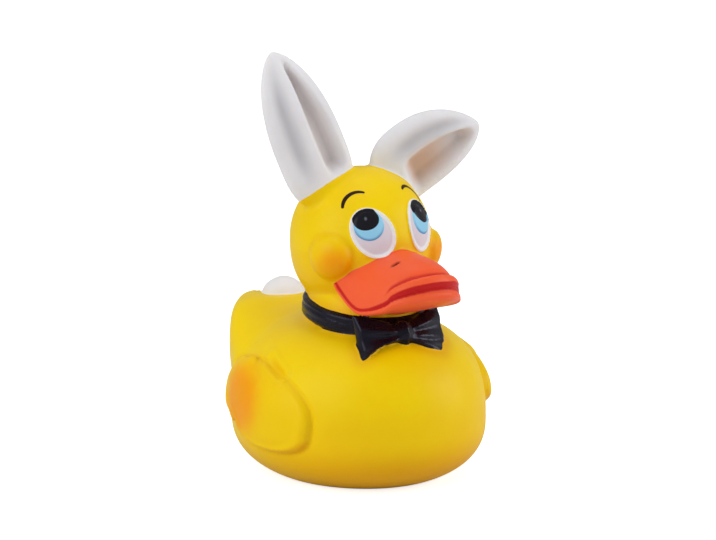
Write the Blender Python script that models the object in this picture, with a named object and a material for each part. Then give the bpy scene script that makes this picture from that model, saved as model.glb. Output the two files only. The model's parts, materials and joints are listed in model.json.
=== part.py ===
"""Rubber bath duck dressed as a rabbit.

The real toy is one hollow moulding of latex with a small vent in its flat base, so it is one object here.
Each region (body, head, bill, ears, bow) is a sphere or a ring whose points a short function moves into
shape. Boolean modifiers join the regions into one skin, and a smaller body and head hollow it out.

Metres, +Z up. The duck faces -Y and its left side is +X. The origin is on the flat base.
"""

import bmesh
import bpy
import numpy as np

MM = 0.001

# Body, measured from the origin
BODY_HALF_WIDTH = 34.6 * MM
BODY_HALF_LENGTH = 38.5 * MM
BODY_AHEAD = 3.7 * MM
WIDEST_HEIGHT = 16.0 * MM
BACK_ABOVE_WIDEST = 29.0 * MM
BASE_SHARE = 0.63
BACK_FULLNESS = 2.7
BELLY_FULLNESS = 2.4

# Tail and tuft, measured from the rump and the back
TAIL_REACH = 13.6 * MM
TAIL_HALF_WIDTH = 33.0 * MM
TAIL_TOP_BELOW = 1.4 * MM
TAIL_TIP_BELOW = 3.0 * MM
TAIL_ROOT_DEPTH = 31.0 * MM
TAIL_TAPER = 0.75
TAIL_ROOT_CLOSING = 0.12
TAIL_UNDERSIDE_POWER = 1.5
TAIL_TIP_BLUNTNESS = 6.0
TUFT_BEHIND_RUMP = 1.0 * MM
TUFT_BELOW_BACK = 1.2 * MM
TUFT_HALF_SIZES = (6.4 * MM, 6.2 * MM, 4.8 * MM)

# Wings, in degrees round the body
WING_BEARING = 88.0
WING_ELEVATION = 13.5
WING_HALF_SPAN = 32.0
WING_HALF_RISE = 23.5
WING_DRAWN = 0.3
WING_SLANT = 9.0
WING_RELIEF = 2.0 * MM
WING_ROOT_DEPTH = 4.0 * MM

# Neck band and bow
BAND_RADIUS = 16.6 * MM
BAND_AHEAD = 7.8 * MM
BAND_ABOVE_BACK = 1.6 * MM
BAND_TILT = 8.7
BAND_HALF_WIDTH = 3.0 * MM
BAND_HALF_THICKNESS = 1.4 * MM
NECK_HALF_HEIGHT = 14.0 * MM
BOW_HALF_WIDTH = 14.6 * MM
BOW_END_HALF_HEIGHT = 6.3 * MM
BOW_WAIST_HALF_HEIGHT = 2.8 * MM
BOW_HALF_THICKNESS = 2.6 * MM
BOW_BACKING = 6.0 * MM
BOW_BACKING_LOSS_AT_ENDS = 0.6
BOW_SWEEP = 3.6 * MM
BOW_DROP = 1.4 * MM
KNOT_STANDOFF = 2.6 * MM
BOW_SLOPE = 21.0
BOW_SPREAD_FROM = 0.1
BOW_SPREAD_TO = 0.9
BOW_SQUARENESS = 3.0
KNOT_HALF_SIZES = (3.4 * MM, 3.0 * MM, 3.5 * MM)

# Head, with angles in degrees round its centre
HEAD_RADIUS = 19.7 * MM
HEAD_AHEAD = 4.8 * MM
HEAD_ABOVE_BACK = 21.8 * MM
JAW_SWELL = 0.08
JAW_SWELL_DEPTH = 0.8
CHEEK_BEARING = 62.0
CHEEK_ELEVATION = -8.5
CHEEK_RADIUS = 6.5 * MM
CHEEK_RELIEF = 3.6 * MM
EYE_BEARING = 23.5
EYE_ELEVATION = 14.0
EYE_HALF_WIDTH = 6.0 * MM
EYE_HALF_HEIGHT = 7.4 * MM
EYE_RELIEF = 0.6 * MM

# Bill, measured from the head's centre
BILL_AHEAD = 14.2 * MM
BILL_HALF_WIDTH = 14.6 * MM
BILL_REACH = 24.6 * MM
BILL_ROOT_REACH = 8.0 * MM
BILL_SQUARENESS = 2.5
BILL_RISE_POWER = 2.5
BILL_ROOT_BELOW = 1.6 * MM
LIP_BELOW = 10.2 * MM
LIP_ARCH = 4.6 * MM
LIP_ARCH_SPAN = 67.0
LIP_THICKNESS = 2.4 * MM
GAPE = 2.4 * MM
LOWER_LIP_THICKNESS = 4.4 * MM
GAPE_LOSS_AT_SIDES = 0.7
LIP_LOSS_AT_SIDES = 0.6
LOWER_SET_BACK = 0.6 * MM
LOWER_OUT_AT_SIDES = 1.6 * MM
MOUTH_FLOOR_SHARE = 0.3
MOUTH_FLOOR_POWER = 2.0

# Ears
EAR_HALF_THICKNESS = 4.6 * MM
EAR_HOLLOW = 3.8 * MM
EAR_SUNK = 7.0 * MM
EAR_SPOT_BEARING = 89.0
EAR_SPOT_ELEVATION = 53.0
UPRIGHT_EAR_LENGTH = 47.0 * MM
UPRIGHT_EAR_HALF_WIDTH = 10.8 * MM
DROOPING_EAR_LENGTH = 35.0 * MM
DROOPING_EAR_HALF_WIDTH = 11.5 * MM
DROOPING_EAR_CURL = 2.6 * MM
UPRIGHT_EAR_LEAN = (-0.34, 0.15, 0.93)
UPRIGHT_EAR_FACING = (0.0, -1.0, 0.0)
DROOPING_EAR_LEAN = (0.82, -0.26, 0.51)
DROOPING_EAR_FACING = (-0.38, -0.86, -0.34)
EAR_WIDEST = 0.38
EAR_HOLLOW_OFFSET = 0.2
EAR_HOLLOW_HALF_SPAN = 0.55
EAR_HOLLOW_WALL = 0.8
EAR_HOLLOW_ENDS = (0.12, 0.3)
EAR_HOLLOW_TIP_ENDS = (0.03, 0.3)
EAR_TIP_POWER = 2.25
EAR_TIP_ROUNDNESS = 1.5
EAR_ROOT_POWER = 4.0

# Hollow
WALL = 2.2 * MM
VENT_DIAMETER = 3.0 * MM
VENT_BEHIND = 9.0 * MM
VENT_LENGTH = 8.8 * MM
VENT_SIDES = 16

YELLOW = (0.86, 0.60, 0.02, 1.0)
ROUGHNESS = 0.42

# How fine each region's mesh is: points round it, then rings from pole to pole
FINENESS = {
    "body": (48, 26),
    "neck": (28, 10),
    "head": (36, 20),
    "tail": (28, 14),
    "tuft": (14, 8),
    "lower_bill": (36, 10),
    "upper_bill": (36, 12),
    "band": (36, 6),
    "bow": (20, 26),
    "knot": (14, 10),
    "wing": (24, 8),
    "cheek": (18, 8),
    "eye": (18, 4),
    "ear": (24, 20),
    "inside_body": (24, 12),
    "inside_neck": (16, 8),
    "inside_head": (20, 12),
}

RING_THICKNESS = 0.25
TINY = 1e-9
UP = np.array((0.0, 0.0, 1.0))
BACK_HEIGHT = WIDEST_HEIGHT + BACK_ABOVE_WIDEST
RUMP = BODY_HALF_LENGTH - BODY_AHEAD
HEAD_CENTRE = np.array((0.0, -HEAD_AHEAD, BACK_HEIGHT + HEAD_ABOVE_BACK))
BAND_CENTRE = np.array((0.0, -BAND_AHEAD, BACK_HEIGHT + BAND_ABOVE_BACK))


def unit(vector):
    return vector / np.linalg.norm(vector, axis=-1, keepdims=True)


def heading(bearing, elevation):
    """Unit vector at a bearing in degrees from straight ahead, positive to the duck's left."""
    b, e = np.radians(bearing), np.radians(elevation)
    return np.stack([np.sin(b) * np.cos(e), -np.cos(b) * np.cos(e), np.sin(e)], axis=-1)


def eased(value, low, high):
    """0 below low, 1 above high, with an eased ramp between."""
    t = np.clip((value - low) / (high - low), 0.0, 1.0)
    return t * t * (3.0 - 2.0 * t)


def body(p, inset=0.0):
    """A broad egg with a full back, cut flat at the base."""
    rho = np.hypot(p[:, 0], p[:, 1])
    plan = p[:, :2] / np.maximum(rho, TINY)[:, None]
    above = p[:, 2] > 0.0
    power = 2.0 / np.where(above, BACK_FULLNESS, BELLY_FULLNESS)
    spread, rise = rho**power, np.abs(p[:, 2]) ** power
    depth = WIDEST_HEIGHT / (1.0 - BASE_SHARE**BELLY_FULLNESS) ** (1.0 / BELLY_FULLNESS)
    x = plan[:, 0] * spread * (BODY_HALF_WIDTH - inset)
    y = plan[:, 1] * spread * (BODY_HALF_LENGTH - inset) - BODY_AHEAD
    z = WIDEST_HEIGHT + rise * np.where(above, BACK_ABOVE_WIDEST - inset, -depth)
    return np.stack([x, y, np.maximum(z, inset)], axis=1)


def neck(p, inset=0.0):
    return BAND_CENTRE + p * (np.array((BAND_RADIUS, BAND_RADIUS, NECK_HALF_HEIGHT)) - inset)


def head(p, inset=0.0):
    """A ball that is fuller towards the jaw."""
    swell = 1.0 + JAW_SWELL * eased(-p[:, 2], 0.0, JAW_SWELL_DEPTH)
    return HEAD_CENTRE + p * (HEAD_RADIUS - inset) * swell[:, None]


def pad_on_head(p, bearing, elevation, half_width, half_height, relief):
    """A dome that stands out of the head by relief."""
    out = heading(bearing, elevation)
    side = unit(np.cross(UP, out))
    across = p[:, :1] * half_width * side + p[:, 1:2] * half_height * np.cross(out, side)
    lift = p[:, 2] * np.where(p[:, 2] > 0.0, relief, half_width)
    radial = unit(out * HEAD_RADIUS + across)
    return HEAD_CENTRE + radial * (HEAD_RADIUS + lift)[:, None]


def wing(p, side):
    """A leaf-shaped pad on the body, broad in front and drawn up towards the tail."""
    drawn = 1.0 - WING_DRAWN * eased(p[:, 0], 0.0, 1.0)
    bearing = side * (WING_BEARING + p[:, 0] * WING_HALF_SPAN)
    elevation = WING_ELEVATION + p[:, 0] * WING_SLANT + p[:, 1] * drawn * WING_HALF_RISE
    on = body(heading(bearing, elevation))
    centre = np.array((0.0, -BODY_AHEAD, WIDEST_HEIGHT))
    lift = np.where(p[:, 2] > 0.0, np.sqrt(np.abs(p[:, 2])) * WING_RELIEF, p[:, 2] * WING_ROOT_DEPTH)
    return on + unit(on - centre) * lift[:, None]


def tail(p):
    """A broad wedge that carries the plan of the body on to a blunt, lifted tip."""
    along = (p[:, 2] + 1.0) / 2.0
    ring = np.maximum(np.hypot(p[:, 0], p[:, 1]), TINY)
    closing = np.sqrt(1.0 - np.clip(1.0 - along / TAIL_ROOT_CLOSING, 0.0, 1.0) ** 2)
    width = TAIL_HALF_WIDTH * (1.0 - along**2) ** TAIL_TAPER * closing
    top = BACK_HEIGHT - TAIL_TOP_BELOW
    tip = BACK_HEIGHT - TAIL_TIP_BELOW
    bottom = tip - TAIL_ROOT_DEPTH * (1.0 - along**TAIL_UNDERSIDE_POWER)
    blunt = along**TAIL_TIP_BLUNTNESS
    half = (top - bottom) / 2.0 * np.sqrt(1.0 - blunt) * closing
    middle = (top + bottom) / 2.0 + (tip - (top + tip) / 2.0) * blunt
    x = p[:, 0] / ring * width
    y = -BODY_AHEAD + along * (RUMP + TAIL_REACH + BODY_AHEAD)
    return np.stack([x, y, middle + p[:, 1] / ring * half], axis=1)


def tuft(p):
    """The round rabbit's tail, set where the back meets the tail."""
    centre = np.array((0.0, RUMP + TUFT_BEHIND_RUMP, BACK_HEIGHT - TUFT_BELOW_BACK))
    return centre + p * np.array(TUFT_HALF_SIZES)


def band(p):
    """The flat tape round the neck, leaning forward."""
    ring = np.hypot(p[:, 0], p[:, 1])
    radius = BAND_RADIUS + (ring - 1.0) / RING_THICKNESS * BAND_HALF_THICKNESS
    x, y = p[:, 0] / ring * radius, p[:, 1] / ring * radius
    z = p[:, 2] / RING_THICKNESS * BAND_HALF_WIDTH
    lean = np.radians(BAND_TILT)
    back, up = y * np.cos(lean) - z * np.sin(lean), y * np.sin(lean) + z * np.cos(lean)
    return BAND_CENTRE + np.stack([x, back, up], axis=1)


def knot_centre():
    lean = np.radians(BAND_TILT)
    reach = BAND_RADIUS + BAND_HALF_THICKNESS + KNOT_STANDOFF
    return BAND_CENTRE + np.array((0.0, -np.cos(lean), -np.sin(lean))) * reach


def bow(p):
    """Both loops of the bow: high at the ends, pinched under the knot, swept back round the neck."""
    out = np.abs(p[:, 0])
    spread = eased(out, BOW_SPREAD_FROM, BOW_SPREAD_TO)
    height = BOW_WAIST_HALF_HEIGHT + (BOW_END_HALF_HEIGHT - BOW_WAIST_HALF_HEIGHT) * spread
    ring = np.sqrt(np.maximum(1.0 - out**2, TINY))
    square = np.minimum(1.0, BOW_SQUARENESS * ring) / ring
    x = p[:, 0] * BOW_HALF_WIDTH
    z = p[:, 2] * square * height - out * BOW_DROP
    backing = BOW_BACKING * (1.0 - BOW_BACKING_LOSS_AT_ENDS * out)
    depth = p[:, 1] * square * np.where(p[:, 1] > 0.0, backing, BOW_HALF_THICKNESS)
    y = depth + out**2 * BOW_SWEEP + z * np.tan(np.radians(BOW_SLOPE))
    return knot_centre() + np.stack([x, y, z], axis=1)


def knot(p):
    return knot_centre() + p * np.array(KNOT_HALF_SIZES)


def bill_plan(p, set_back, out_at_sides):
    """Plan position, the share of the way to the margin, and the height of the arched lip there."""
    bearing = np.arctan2(p[:, 0], -p[:, 1])
    arch = np.cos(np.clip(np.degrees(bearing) / LIP_ARCH_SPAN, -1.0, 1.0) * np.pi)
    reach = np.where(p[:, 1] < 0.0, BILL_REACH - set_back, BILL_ROOT_REACH)
    wide = (np.abs(np.sin(bearing)) / (BILL_HALF_WIDTH - set_back)) ** BILL_SQUARENESS
    radius = (wide + (np.abs(np.cos(bearing)) / reach) ** BILL_SQUARENESS) ** (-1.0 / BILL_SQUARENESS)
    share = np.hypot(p[:, 0], p[:, 1])
    radius = radius + out_at_sides * (1.0 - arch) / 2.0
    x = np.sin(bearing) * radius * share
    y = -np.cos(bearing) * radius * share - HEAD_AHEAD - BILL_AHEAD
    lip = HEAD_CENTRE[2] - LIP_BELOW + LIP_ARCH * arch
    return x, y, share, lip, arch


def upper_bill(p):
    """An arched plate that rises from the lip to the root on the face."""
    x, y, share, lip, _ = bill_plan(p, 0.0, 0.0)
    root = HEAD_CENTRE[2] - BILL_ROOT_BELOW - LIP_THICKNESS / 2.0
    z = lip + (root - lip) * (1.0 - share**BILL_RISE_POWER) + p[:, 2] * LIP_THICKNESS / 2.0
    return np.stack([x, y, z], axis=1)


def lower_bill(p):
    """The lower plate, joined to the upper one behind the open margin."""
    x, y, share, lip, arch = bill_plan(p, LOWER_SET_BACK, LOWER_OUT_AT_SIDES)
    gape = GAPE * (1.0 - GAPE_LOSS_AT_SIDES * (1.0 - arch) / 2.0)
    thickness = LOWER_LIP_THICKNESS * (1.0 - LIP_LOSS_AT_SIDES * (1.0 - arch) / 2.0)
    lip = lip - gape - (LIP_THICKNESS + thickness) / 2.0
    floor = HEAD_CENTRE[2] - LIP_BELOW - LOWER_LIP_THICKNESS
    inward = 1.0 - share**MOUTH_FLOOR_POWER
    joined = np.where(p[:, 2] > 0.0, GAPE + LIP_THICKNESS, 0.0) * eased(1.0 - share, 0.0, MOUTH_FLOOR_SHARE)
    z = lip + (floor - lip) * inward + joined + p[:, 2] * thickness / 2.0
    return np.stack([x, y, z], axis=1)


def ear(p, spot, lean, facing, length, half_width, curl):
    """A pointed leaf, full width to its root, hollow on the side it faces."""
    axis = unit(np.array(lean))
    front = unit(facing - np.dot(facing, axis) * axis)
    side = np.cross(axis, front)
    root = HEAD_CENTRE + heading(*spot) * HEAD_RADIUS - axis * EAR_SUNK
    tipward = p[:, 2] > 0.0
    share = np.abs(p[:, 2])
    pointed = (1.0 - share**EAR_TIP_POWER) ** (1.0 / EAR_TIP_ROUNDNESS)
    outline = np.where(tipward, pointed, np.sqrt(1.0 - share**EAR_ROOT_POWER))
    along = np.where(tipward, EAR_WIDEST + share * (1.0 - EAR_WIDEST), EAR_WIDEST * (1.0 - share))
    ring = np.maximum(np.hypot(p[:, 0], p[:, 1]), TINY)
    across, forward = p[:, 0] / ring, p[:, 1] / ring
    dent = eased(1.0 - np.abs(across - EAR_HOLLOW_OFFSET) / EAR_HOLLOW_HALF_SPAN, 0.0, EAR_HOLLOW_WALL)
    dent = dent * eased(along, *EAR_HOLLOW_ENDS) * eased(1.0 - along, *EAR_HOLLOW_TIP_ENDS)
    depth = forward * outline * EAR_HALF_THICKNESS - np.where(forward > 0.0, dent, 0.0) * EAR_HOLLOW
    curled = curl * (1.0 - (2.0 * along - 1.0) ** 2)
    sideways = across * outline * half_width - curled
    return root + axis * (along * length)[:, None] + side * sideways[:, None] + front * depth[:, None]


def sphere(name, kind, shape, collection):
    """An object made from a unit sphere by moving its points with shape."""
    mesh = bpy.data.meshes.new(name)
    form = bmesh.new()
    segments, rings = FINENESS[kind]
    bmesh.ops.create_uvsphere(form, u_segments=segments, v_segments=rings, radius=1.0)
    return finished(name, mesh, form, shape, collection)


def finished(name, mesh, form, shape, collection):
    points = np.array([vertex.co for vertex in form.verts])
    for vertex, place in zip(form.verts, shape(points)):
        vertex.co = place
    bmesh.ops.recalc_face_normals(form, faces=form.faces)
    form.to_mesh(mesh)
    form.free()
    mesh.shade_smooth()
    piece = bpy.data.objects.new(name, mesh)
    collection.objects.link(piece)
    return piece


def ring(name, kind, shape, collection):
    """An object made from a torus of radius 1 by moving its points with shape."""
    segments, sides = FINENESS[kind]
    bpy.ops.mesh.primitive_torus_add(
        major_segments=segments, minor_segments=sides, major_radius=1.0, minor_radius=RING_THICKNESS
    )
    start = bpy.context.object
    form = bmesh.new()
    form.from_mesh(start.data)
    mesh = start.data
    bpy.data.objects.remove(start)
    return finished(name, mesh, form, shape, collection)


def combine(target, collection, operation):
    step = target.modifiers.new(operation.title() + " " + collection.name, "BOOLEAN")
    step.operation = operation
    step.solver = "EXACT"
    step.operand_type = "COLLECTION"
    step.collection = collection


def hide(collection):
    collection.hide_render = True
    for piece in collection.objects:
        piece.hide_render = True
        piece.display_type = "WIRE"


def rubber():
    material = bpy.data.materials.new("Yellow latex")
    material.use_nodes = True
    shader = material.node_tree.nodes["Principled BSDF"]
    shader.inputs["Base Color"].default_value = YELLOW
    shader.inputs["Roughness"].default_value = ROUGHNESS
    return material


def new_collection(name):
    collection = bpy.data.collections.new(name)
    bpy.context.scene.collection.children.link(collection)
    return collection


def add_face_and_tail(regions):
    for shape in (neck, head, tail, tuft, lower_bill, upper_bill):
        sphere(shape.__name__, shape.__name__, shape, regions)


def add_neck_band_and_bow(regions):
    ring("band", "band", band, regions)
    sphere("bow", "bow", lambda p: bow(p[:, [2, 0, 1]]), regions)
    sphere("knot", "knot", knot, regions)


def add_pairs(regions):
    """The wings, cheeks and eyes, one on each side of the duck."""
    for name, side in (("left", 1.0), ("right", -1.0)):
        sphere(name + "_wing", "wing", lambda p: wing(p, side), regions)
        cheek = (side * CHEEK_BEARING, CHEEK_ELEVATION, CHEEK_RADIUS, CHEEK_RADIUS, CHEEK_RELIEF)
        sphere(name + "_cheek", "cheek", lambda p: pad_on_head(p, *cheek), regions)
        eye = (side * EYE_BEARING, EYE_ELEVATION, EYE_HALF_WIDTH, EYE_HALF_HEIGHT, EYE_RELIEF)
        sphere(name + "_eye", "eye", lambda p: pad_on_head(p, *eye), regions)


def add_ears(regions):
    right, left = (-EAR_SPOT_BEARING, EAR_SPOT_ELEVATION), (EAR_SPOT_BEARING, EAR_SPOT_ELEVATION)
    upright = (right, UPRIGHT_EAR_LEAN, UPRIGHT_EAR_FACING, UPRIGHT_EAR_LENGTH, UPRIGHT_EAR_HALF_WIDTH, 0.0)
    drooping = (left, DROOPING_EAR_LEAN, DROOPING_EAR_FACING, DROOPING_EAR_LENGTH, DROOPING_EAR_HALF_WIDTH,
                DROOPING_EAR_CURL)
    sphere("upright_ear", "ear", lambda p: ear(p, *upright), regions)
    sphere("drooping_ear", "ear", lambda p: ear(p, *drooping), regions)


def add_hollow(hollow):
    """The space inside, and the vent that opens it to the air."""
    sphere("inside_body", "inside_body", lambda p: body(p, WALL), hollow)
    sphere("inside_neck", "inside_neck", lambda p: neck(p, WALL), hollow)
    sphere("inside_head", "inside_head", lambda p: head(p, WALL), hollow)
    vent = bpy.data.objects.new("vent", bpy.data.meshes.new("vent"))
    form = bmesh.new()
    radius = VENT_DIAMETER / 2.0
    bmesh.ops.create_cone(
        form, cap_ends=True, segments=VENT_SIDES, radius1=radius, radius2=radius, depth=VENT_LENGTH
    )
    form.to_mesh(vent.data)
    form.free()
    vent.location = (0.0, VENT_BEHIND, 0.0)
    hollow.objects.link(vent)


def main():
    for old in list(bpy.data.objects):
        bpy.data.objects.remove(old)
    shown = new_collection("Rubber duck")
    regions = new_collection("Regions")
    hollow = new_collection("Hollow")
    add_face_and_tail(regions)
    add_neck_band_and_bow(regions)
    add_pairs(regions)
    add_ears(regions)
    add_hollow(hollow)
    duck = sphere("rubber_duck", "body", body, shown)
    duck.data.materials.append(rubber())
    combine(duck, regions, "UNION")
    combine(duck, hollow, "DIFFERENCE")
    hide(regions)
    hide(hollow)


main()
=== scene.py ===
"""Rubber bath duck dressed as a rabbit: one latex skin, shaped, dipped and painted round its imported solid.

Every region of the duck is a fine ball or ring moved into shape. The regions are cast as one skin, its
seams are softened, the small relief is pressed in, and each paint keeps to a field measured on the skin.
Metres, +Z up. The duck faces -Y and its left side is +X.
"""

import json
import math

import bmesh
import bpy
import numpy as np
from bpy.props import FloatProperty, FloatVectorProperty, IntProperty, PointerProperty
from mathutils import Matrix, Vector
from mathutils.bvhtree import BVHTree

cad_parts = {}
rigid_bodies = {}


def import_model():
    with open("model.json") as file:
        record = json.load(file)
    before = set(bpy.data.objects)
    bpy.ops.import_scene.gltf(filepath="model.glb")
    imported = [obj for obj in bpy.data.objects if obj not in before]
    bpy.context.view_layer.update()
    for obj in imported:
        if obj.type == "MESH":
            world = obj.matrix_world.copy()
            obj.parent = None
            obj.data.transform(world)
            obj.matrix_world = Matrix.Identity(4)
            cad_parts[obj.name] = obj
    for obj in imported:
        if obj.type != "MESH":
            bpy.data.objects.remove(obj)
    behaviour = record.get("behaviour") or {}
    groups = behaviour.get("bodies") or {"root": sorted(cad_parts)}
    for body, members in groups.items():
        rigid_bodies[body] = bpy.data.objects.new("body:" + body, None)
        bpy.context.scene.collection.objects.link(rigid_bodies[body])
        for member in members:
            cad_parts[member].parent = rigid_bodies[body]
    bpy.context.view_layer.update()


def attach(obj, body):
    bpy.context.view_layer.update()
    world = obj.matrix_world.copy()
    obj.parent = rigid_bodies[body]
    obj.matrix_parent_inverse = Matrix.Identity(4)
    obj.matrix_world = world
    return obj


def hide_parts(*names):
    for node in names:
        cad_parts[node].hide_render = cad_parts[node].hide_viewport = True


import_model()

bl_info = {
    "name": "Rubber duck maker",
    "version": (1, 0, 0),
    "blender": (4, 5, 0),
    "location": "View3D > Sidebar > Duck",
    "description": "Shapes and paints a latex bath duck with rabbit ears and a bow",
    "category": "Object",
}

MM = 0.001
TINY = 1e-9
UP = np.array((0.0, 0.0, 1.0))
NODE = "rubber_duck"
REGIONS = "Duck regions"

# Which paint each region is dipped in
BILL_REGIONS = ("upper_bill", "lower_bill")
BLACK_REGIONS = ("neck_band", "bow", "knot")
WHITE_REGIONS = ("upright_ear", "drooping_ear", "tuft")

# How far, in millimetres, the seam round each region is softened
FILLETS = {
    "body": 4.0, "tail": 4.0, "neck": 3.0, "head": 2.2, "cheek_left": 1.2, "cheek_right": 1.2,
    "wing_left": 0.9, "wing_right": 0.9, "feather_left": 0.7, "feather_right": 0.7, "tuft": 0.7,
    "upright_ear": 1.7, "drooping_ear": 0.9, "upper_bill": 0.5, "lower_bill": 0.5,
    "neck_band": 0.35, "bow": 0.35, "knot": 0.35, "eye_left": 0.5, "eye_right": 0.5,
}

# Each painted eye, in degrees and millimetres. Pad: bearing, elevation, tilt and half sizes. Iris: across,
# up and radius. Pupil: across, up, half width, half height and turn. Brow: across and up from the brow's
# place on the head, radius of its arc, and the angles at which the arc starts and ends.
EYES = {
    "right": dict(side=-1.0, bearing=22.4, elevation=12.6, tilt=34.0, half=(5.8, 7.4), iris=(1.15, 2.15, 4.3),
                  pupil=(1.9, 3.8, 3.65, 3.05, -8.0), brow=(-1.0, -2.3, 4.5, -4.0, 103.0)),
    "left": dict(side=1.0, bearing=27.5, elevation=14.6, tilt=6.0, half=(5.4, 7.3), iris=(0.9, 1.4, 4.2),
                 pupil=(1.3, 3.6, 3.9, 2.9, -38.0), brow=(-0.6, -1.5, 4.0, -22.0, 118.0)),
}
BROW_BEARING, BROW_ELEVATION = 38.0, 42.0

# Attributes that hold the signed distance to a paint's edge, in millimetres
PAINT_FIELDS = ("bill", "black", "white", "eye", "iris", "pupil", "glint", "brow", "nostril")


def length(name, text, value):
    return FloatProperty(name=name, description=text, default=value * MM, unit="LENGTH", precision=4)


def factor(name, text, value):
    return FloatProperty(name=name, description=text, default=value, min=0.0, subtype="FACTOR")


def degrees(name, text, value):
    return FloatProperty(name=name, description=text, default=math.radians(value), subtype="ANGLE")


def colour(name, text, value):
    return FloatVectorProperty(name=name, description=text, default=value, size=3, subtype="COLOR",
                               min=0.0, max=1.0)


def number(name, text, value, least=0):
    return IntProperty(name=name, description=text, default=value, min=least)


class DuckBody(bpy.types.PropertyGroup):
    half_width: length("Half width", "Widest point of the body from its middle", 34.6)
    half_length: length("Half length", "Breast to rump, halved", 38.5)
    ahead: length("Ahead", "How far the body's centre lies in front of the origin", 3.7)
    widest_height: length("Widest height", "Height of the widest ring above the base", 16.0)
    back_rise: length("Back rise", "Height of the back above the widest ring", 29.0)
    base_share: factor("Base share", "Width of the flat base as a share of the body", 0.63)
    tail_reach: length("Tail reach", "Tail tip behind the rump", 13.6)
    tail_half_width: length("Tail half width", "Half the width of the tail at its root", 32.6)
    tail_scoop: length("Tail scoop", "Depth of the hollow in front of the tail's rim", 3.8)
    tail_rim: length("Tail rim", "Height of the raised rim round the tail", 1.9)
    tuft_size: length("Tuft size", "Half the width of the round rabbit's tail", 6.4)
    wing_relief: length("Wing relief", "How far a wing stands out of the body", 2.3)
    feather_relief: length("Feather relief", "How far the wing tip's feather stands out", 1.9)


class DuckHead(bpy.types.PropertyGroup):
    radius: length("Radius", "Radius of the head", 19.7)
    ahead: length("Ahead", "Head centre in front of the origin", 4.8)
    above_back: length("Above back", "Head centre above the back", 21.8)
    cheek_radius: length("Cheek radius", "Radius of each round cheek", 6.5)
    cheek_relief: length("Cheek relief", "How far a cheek stands out", 3.5)
    eye_relief: length("Eye relief", "How far the eye stands out of the head", 0.6)
    eye_rim: length("Eye rim", "Height of the moulded rim round the eye", 0.5)
    bill_half_width: length("Bill half width", "Half the width of the bill", 14.6)
    bill_reach: length("Bill reach", "Bill tip in front of the bill's middle", 24.6)
    lip_thickness: length("Lip thickness", "Thickness of the upper plate at its margin", 2.7)
    lower_lip_thickness: length("Lower lip thickness", "Thickness of the lower plate at its margin", 3.6)
    lip_overlap: length("Lip overlap", "How far the two lips press into each other", 0.3)
    slit_depth: length("Slit depth", "Depth of the slit between the lips", 0.55)
    rim_roll: length("Rim roll", "Height of the rolled edge in front of the pillow", 1.3)
    pillow_height: length("Pillow height", "Height of the pillow above the crease round it", 2.2)


class DuckEars(bpy.types.PropertyGroup):
    upright_length: length("Upright length", "Root to tip of the right ear", 47.0)
    upright_half_width: length("Upright half width", "Half the width of the right ear", 10.8)
    drooping_length: length("Drooping length", "Root to tip of the left ear", 35.0)
    drooping_half_width: length("Drooping half width", "Half the width of the left ear", 11.5)
    drooping_curl: length("Drooping curl", "Sideways bow of the left ear", 2.6)
    half_thickness: length("Half thickness", "Half the thickness of an ear", 4.6)
    hollow: length("Hollow", "Depth of the pointed hollow", 4.6)
    valley: length("Valley", "Depth of the shallow valley beside the ridge", 1.3)


class DuckBow(bpy.types.PropertyGroup):
    band_radius: length("Band radius", "Middle of the tape from the neck's axis", 16.6)
    band_half_width: length("Band half width", "Half the height of the tape", 2.6)
    band_half_thickness: length("Band half thickness", "Half the thickness of the tape", 1.4)
    band_tilt: degrees("Band tilt", "How far the tape leans forward", 8.7)
    half_width: length("Half width", "Knot to the end of a loop", 14.8)
    end_half_height: length("End half height", "Half the height of a loop at its end", 7.6)
    waist_half_height: length("Waist half height", "Half the height of a loop under the knot", 2.1)
    half_thickness: length("Half thickness", "Half the thickness of a loop", 2.6)
    pleats: number("Pleats", "Pleats that fan out from the knot", 3, 1)
    pleat_depth: length("Pleat depth", "Depth of the pleats", 0.65)


class DuckPaint(bpy.types.PropertyGroup):
    latex: colour("Latex", "Yellow of the cast latex", (0.93, 0.66, 0.0))
    latex_deep: colour("Deep latex", "Amber where the latex is thick or shaded", (0.86, 0.52, 0.0))
    # Painted shade: orange yellow laid where the skin faces down, low on the breast, in the folds and beside
    # the bill, bow, wings and cheeks
    latex_painted_shade: colour("Amber latex", "Orange yellow where the latex faces down", (0.80, 0.37, 0.0))
    blush: colour("Blush", "Airbrushed orange on cheeks and wing tips", (0.98, 0.33, 0.0))
    bill: colour("Bill", "Orange red of the bill", (0.93, 0.125, 0.04))
    # Painted shade: dark red laid in the groove under the bill's rim and in the crease round its pillow
    bill_groove_shade: colour("Bill grooves", "Red that gathers in the bill's grooves", (0.55, 0.0, 0.008))
    black: colour("Black", "Black of the band and bow", (0.0035, 0.003, 0.006))
    white: colour("White", "White of the ears, tuft and eyes", (0.84, 0.83, 0.85))
    hollow: colour("Ear hollow", "Pinkish beige inside the ears", (0.62, 0.40, 0.27))
    # Painted shade: grey laid into the ears' valleys and hollows
    valley: colour("Ear valley", "Grey that shades the ears' valleys", (0.36, 0.35, 0.38))
    iris: colour("Iris", "Light blue of the eyes", (0.30, 0.64, 0.86))
    # Painted shade: darker blue round the iris's edge, except where the iris faces up
    iris_shade: colour("Iris edge", "Darker blue at the iris's edge", (0.07, 0.26, 0.55))
    pupil: colour("Pupil", "Black of the pupils", (0.010, 0.010, 0.014))
    brow: colour("Brow", "Dark brown of the brows", (0.022, 0.005, 0.003))
    edge_wobble: length("Edge wobble", "How far a painted edge wanders", 0.16)
    brow_half_width: length("Brow half width", "Half the width of a brow's stroke", 0.56)


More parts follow.
